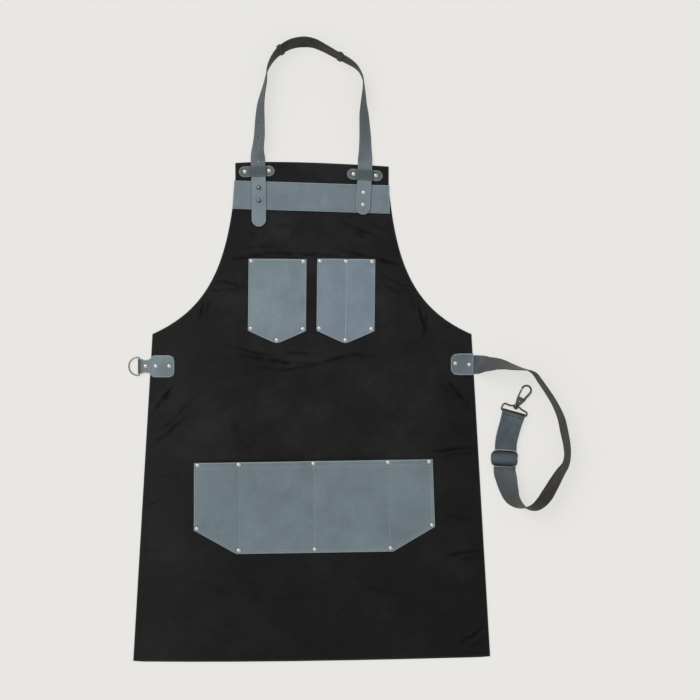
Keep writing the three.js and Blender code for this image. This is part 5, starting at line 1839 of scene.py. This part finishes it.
def build_rivets():
    """Every domed rivet, in sets: a name, the spot, places on it, and the height of the rivet's seat."""
    chest = [(-0.0453, -0.0045), (0.0453, -0.0045), (-0.0453, -0.1215), (0, -0.1413), (0.0453, -0.1215)]
    lap = [(-0.2014, -0.0046), (-0.1297, -0.0045), (0, -0.0045), (0.1297, -0.0045), (0.2014, -0.0046),
           (-0.2044, -0.1146), (-0.132, -0.1536), (0, -0.1536), (0.132, -0.1536), (0.2044, -0.1146)]
    flat = TRIM_TOP + GAP
    sets = [
        ("chest_pocket_left_rivet", LEFT_CHEST, chest, flat),
        ("chest_pocket_right_rivet", RIGHT_CHEST, [*chest, (0, -0.0045)], flat),
        ("lower_pocket_rivet", LAP, lap, flat),
        ("strap_keeper_left_rivet", LEFT_KEEPER, [(-0.0205, 0), (0.0217, 0)], flat),
        ("strap_keeper_right_rivet", RIGHT_KEEPER, [(-0.0193, 0), (0.0193, 0)], flat),
        ("neck_end_rivet", Spot(0, 0, 0), NECK_END_SPOTS, ON_STRAP),
        ("d_ring_tab_rivet", Spot(0, RING_Y, 0), [(-0.289, 0), (-0.2713, 0), (-0.248, 0)], TRIM + 0.0014),
        ("waist_patch_rivet", Spot(0, 0, 0), PATCH_SPOTS, PATCH_LOW + LEATHER + GAP),
    ]
    for name, spot, places, seat in sets:
        for index, place in enumerate(places, 1):
            x, y = spot.out(np.array(place))
            node = f"{name}_{index}"
            fitted(rivet(node + "_metal", x, y, seat), "nickel", node)


build_floor()
neck_frames = build_neck_strap()
waist_strap, waist_frames = build_waist_strap()
canvas, front_seams, back_seams = canvas_sheet()
fitted(canvas, "black_canvas", "canvas_body")
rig.sheet(canvas, flat=(0.62, 0.87), held="laid", area=0.40)
for name, seams, radius, up in (
    ("hem_stitches_front", front_seams, 0.00028, 1.0),
    ("hem_stitches_back", back_seams, 0.00022, -1.0),
):
    fitted(stitches(name, seams, HEM_PITCH, HEM_STITCH, radius, BLACK_THREAD, up), "black_canvas")

left_pocket = chest_panel(LEFT_CHEST, False)
right_pocket = chest_panel(RIGHT_CHEST, True)
lap_pocket = lap_panel()
band = band_panel()
for node, panel in (
    ("chest_pocket_left", left_pocket), ("chest_pocket_right", right_pocket),
    ("lower_pocket", lap_pocket), ("bib_band", band),
):
    fitted(panel.build(node + "_leather"), "grey_leather", node)
right_divider = right_pocket.path([(0, DIVIDER_TOP), (0, CHEST_FOOT)])
for name, sewing_paths, thread in (
    ("chest_pocket_left_stitches", chest_sewing(left_pocket), GREY_THREAD),
    ("chest_pocket_right_stitches", chest_sewing(right_pocket), GREY_THREAD),
    ("chest_pocket_divider_stitches", [right_divider], PALE_THREAD),
    ("lower_pocket_stitches", lap_sewing(lap_pocket), LAP_THREAD),
    ("bib_band_stitches", band_sewing(band), BAND_THREAD),
):
    fitted(stitches(name, sewing_paths, TRIM_PITCH, TRIM_STITCH, TRIM_THREAD, thread), "grey_leather")

for node, mark in LOOP_MARKS.items():
    loop_band(node + "_leather", neck_frames, mark, node)
keeper("strap_keeper_left_leather", LEFT_KEEPER, 0.0026, "strap_keeper_left")
keeper("strap_keeper_right_leather", RIGHT_KEEPER, 0.0, "strap_keeper_right")
ring_tab()
waist_patch()
build_rivets()
for node, (x, y) in zip(("ball_stud_upper", "ball_stud_lower"), STUD_SPOTS):
    fitted(ball_stud(node + "_metal", x, y), "gunmetal", node)
d_ring()
on_strap_builders = (slider, slider_sleeve, slider_roll, hook_eye, hook_body, hook_gate, pivot_pin)
on_the_strap = [build() for build in on_strap_builders]
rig.cord(waist_strap, exit=waist_frames["point"][0], length=round(waist_frames["length"], 4),
        diameter=WAIST_WIDTH, far_end="fitting", stiffness="medium", lay="loose",
        path=waist_frames["point"][::3], with_pieces=on_the_strap)

bpy.context.scene.view_settings.view_transform = "Standard"
with open("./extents.json", "w") as report:
    boxes = {"cad": [list(corner) for corner in cad_box], "visual": [list(corner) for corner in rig.bounds()]}
    json.dump(boxes, report)
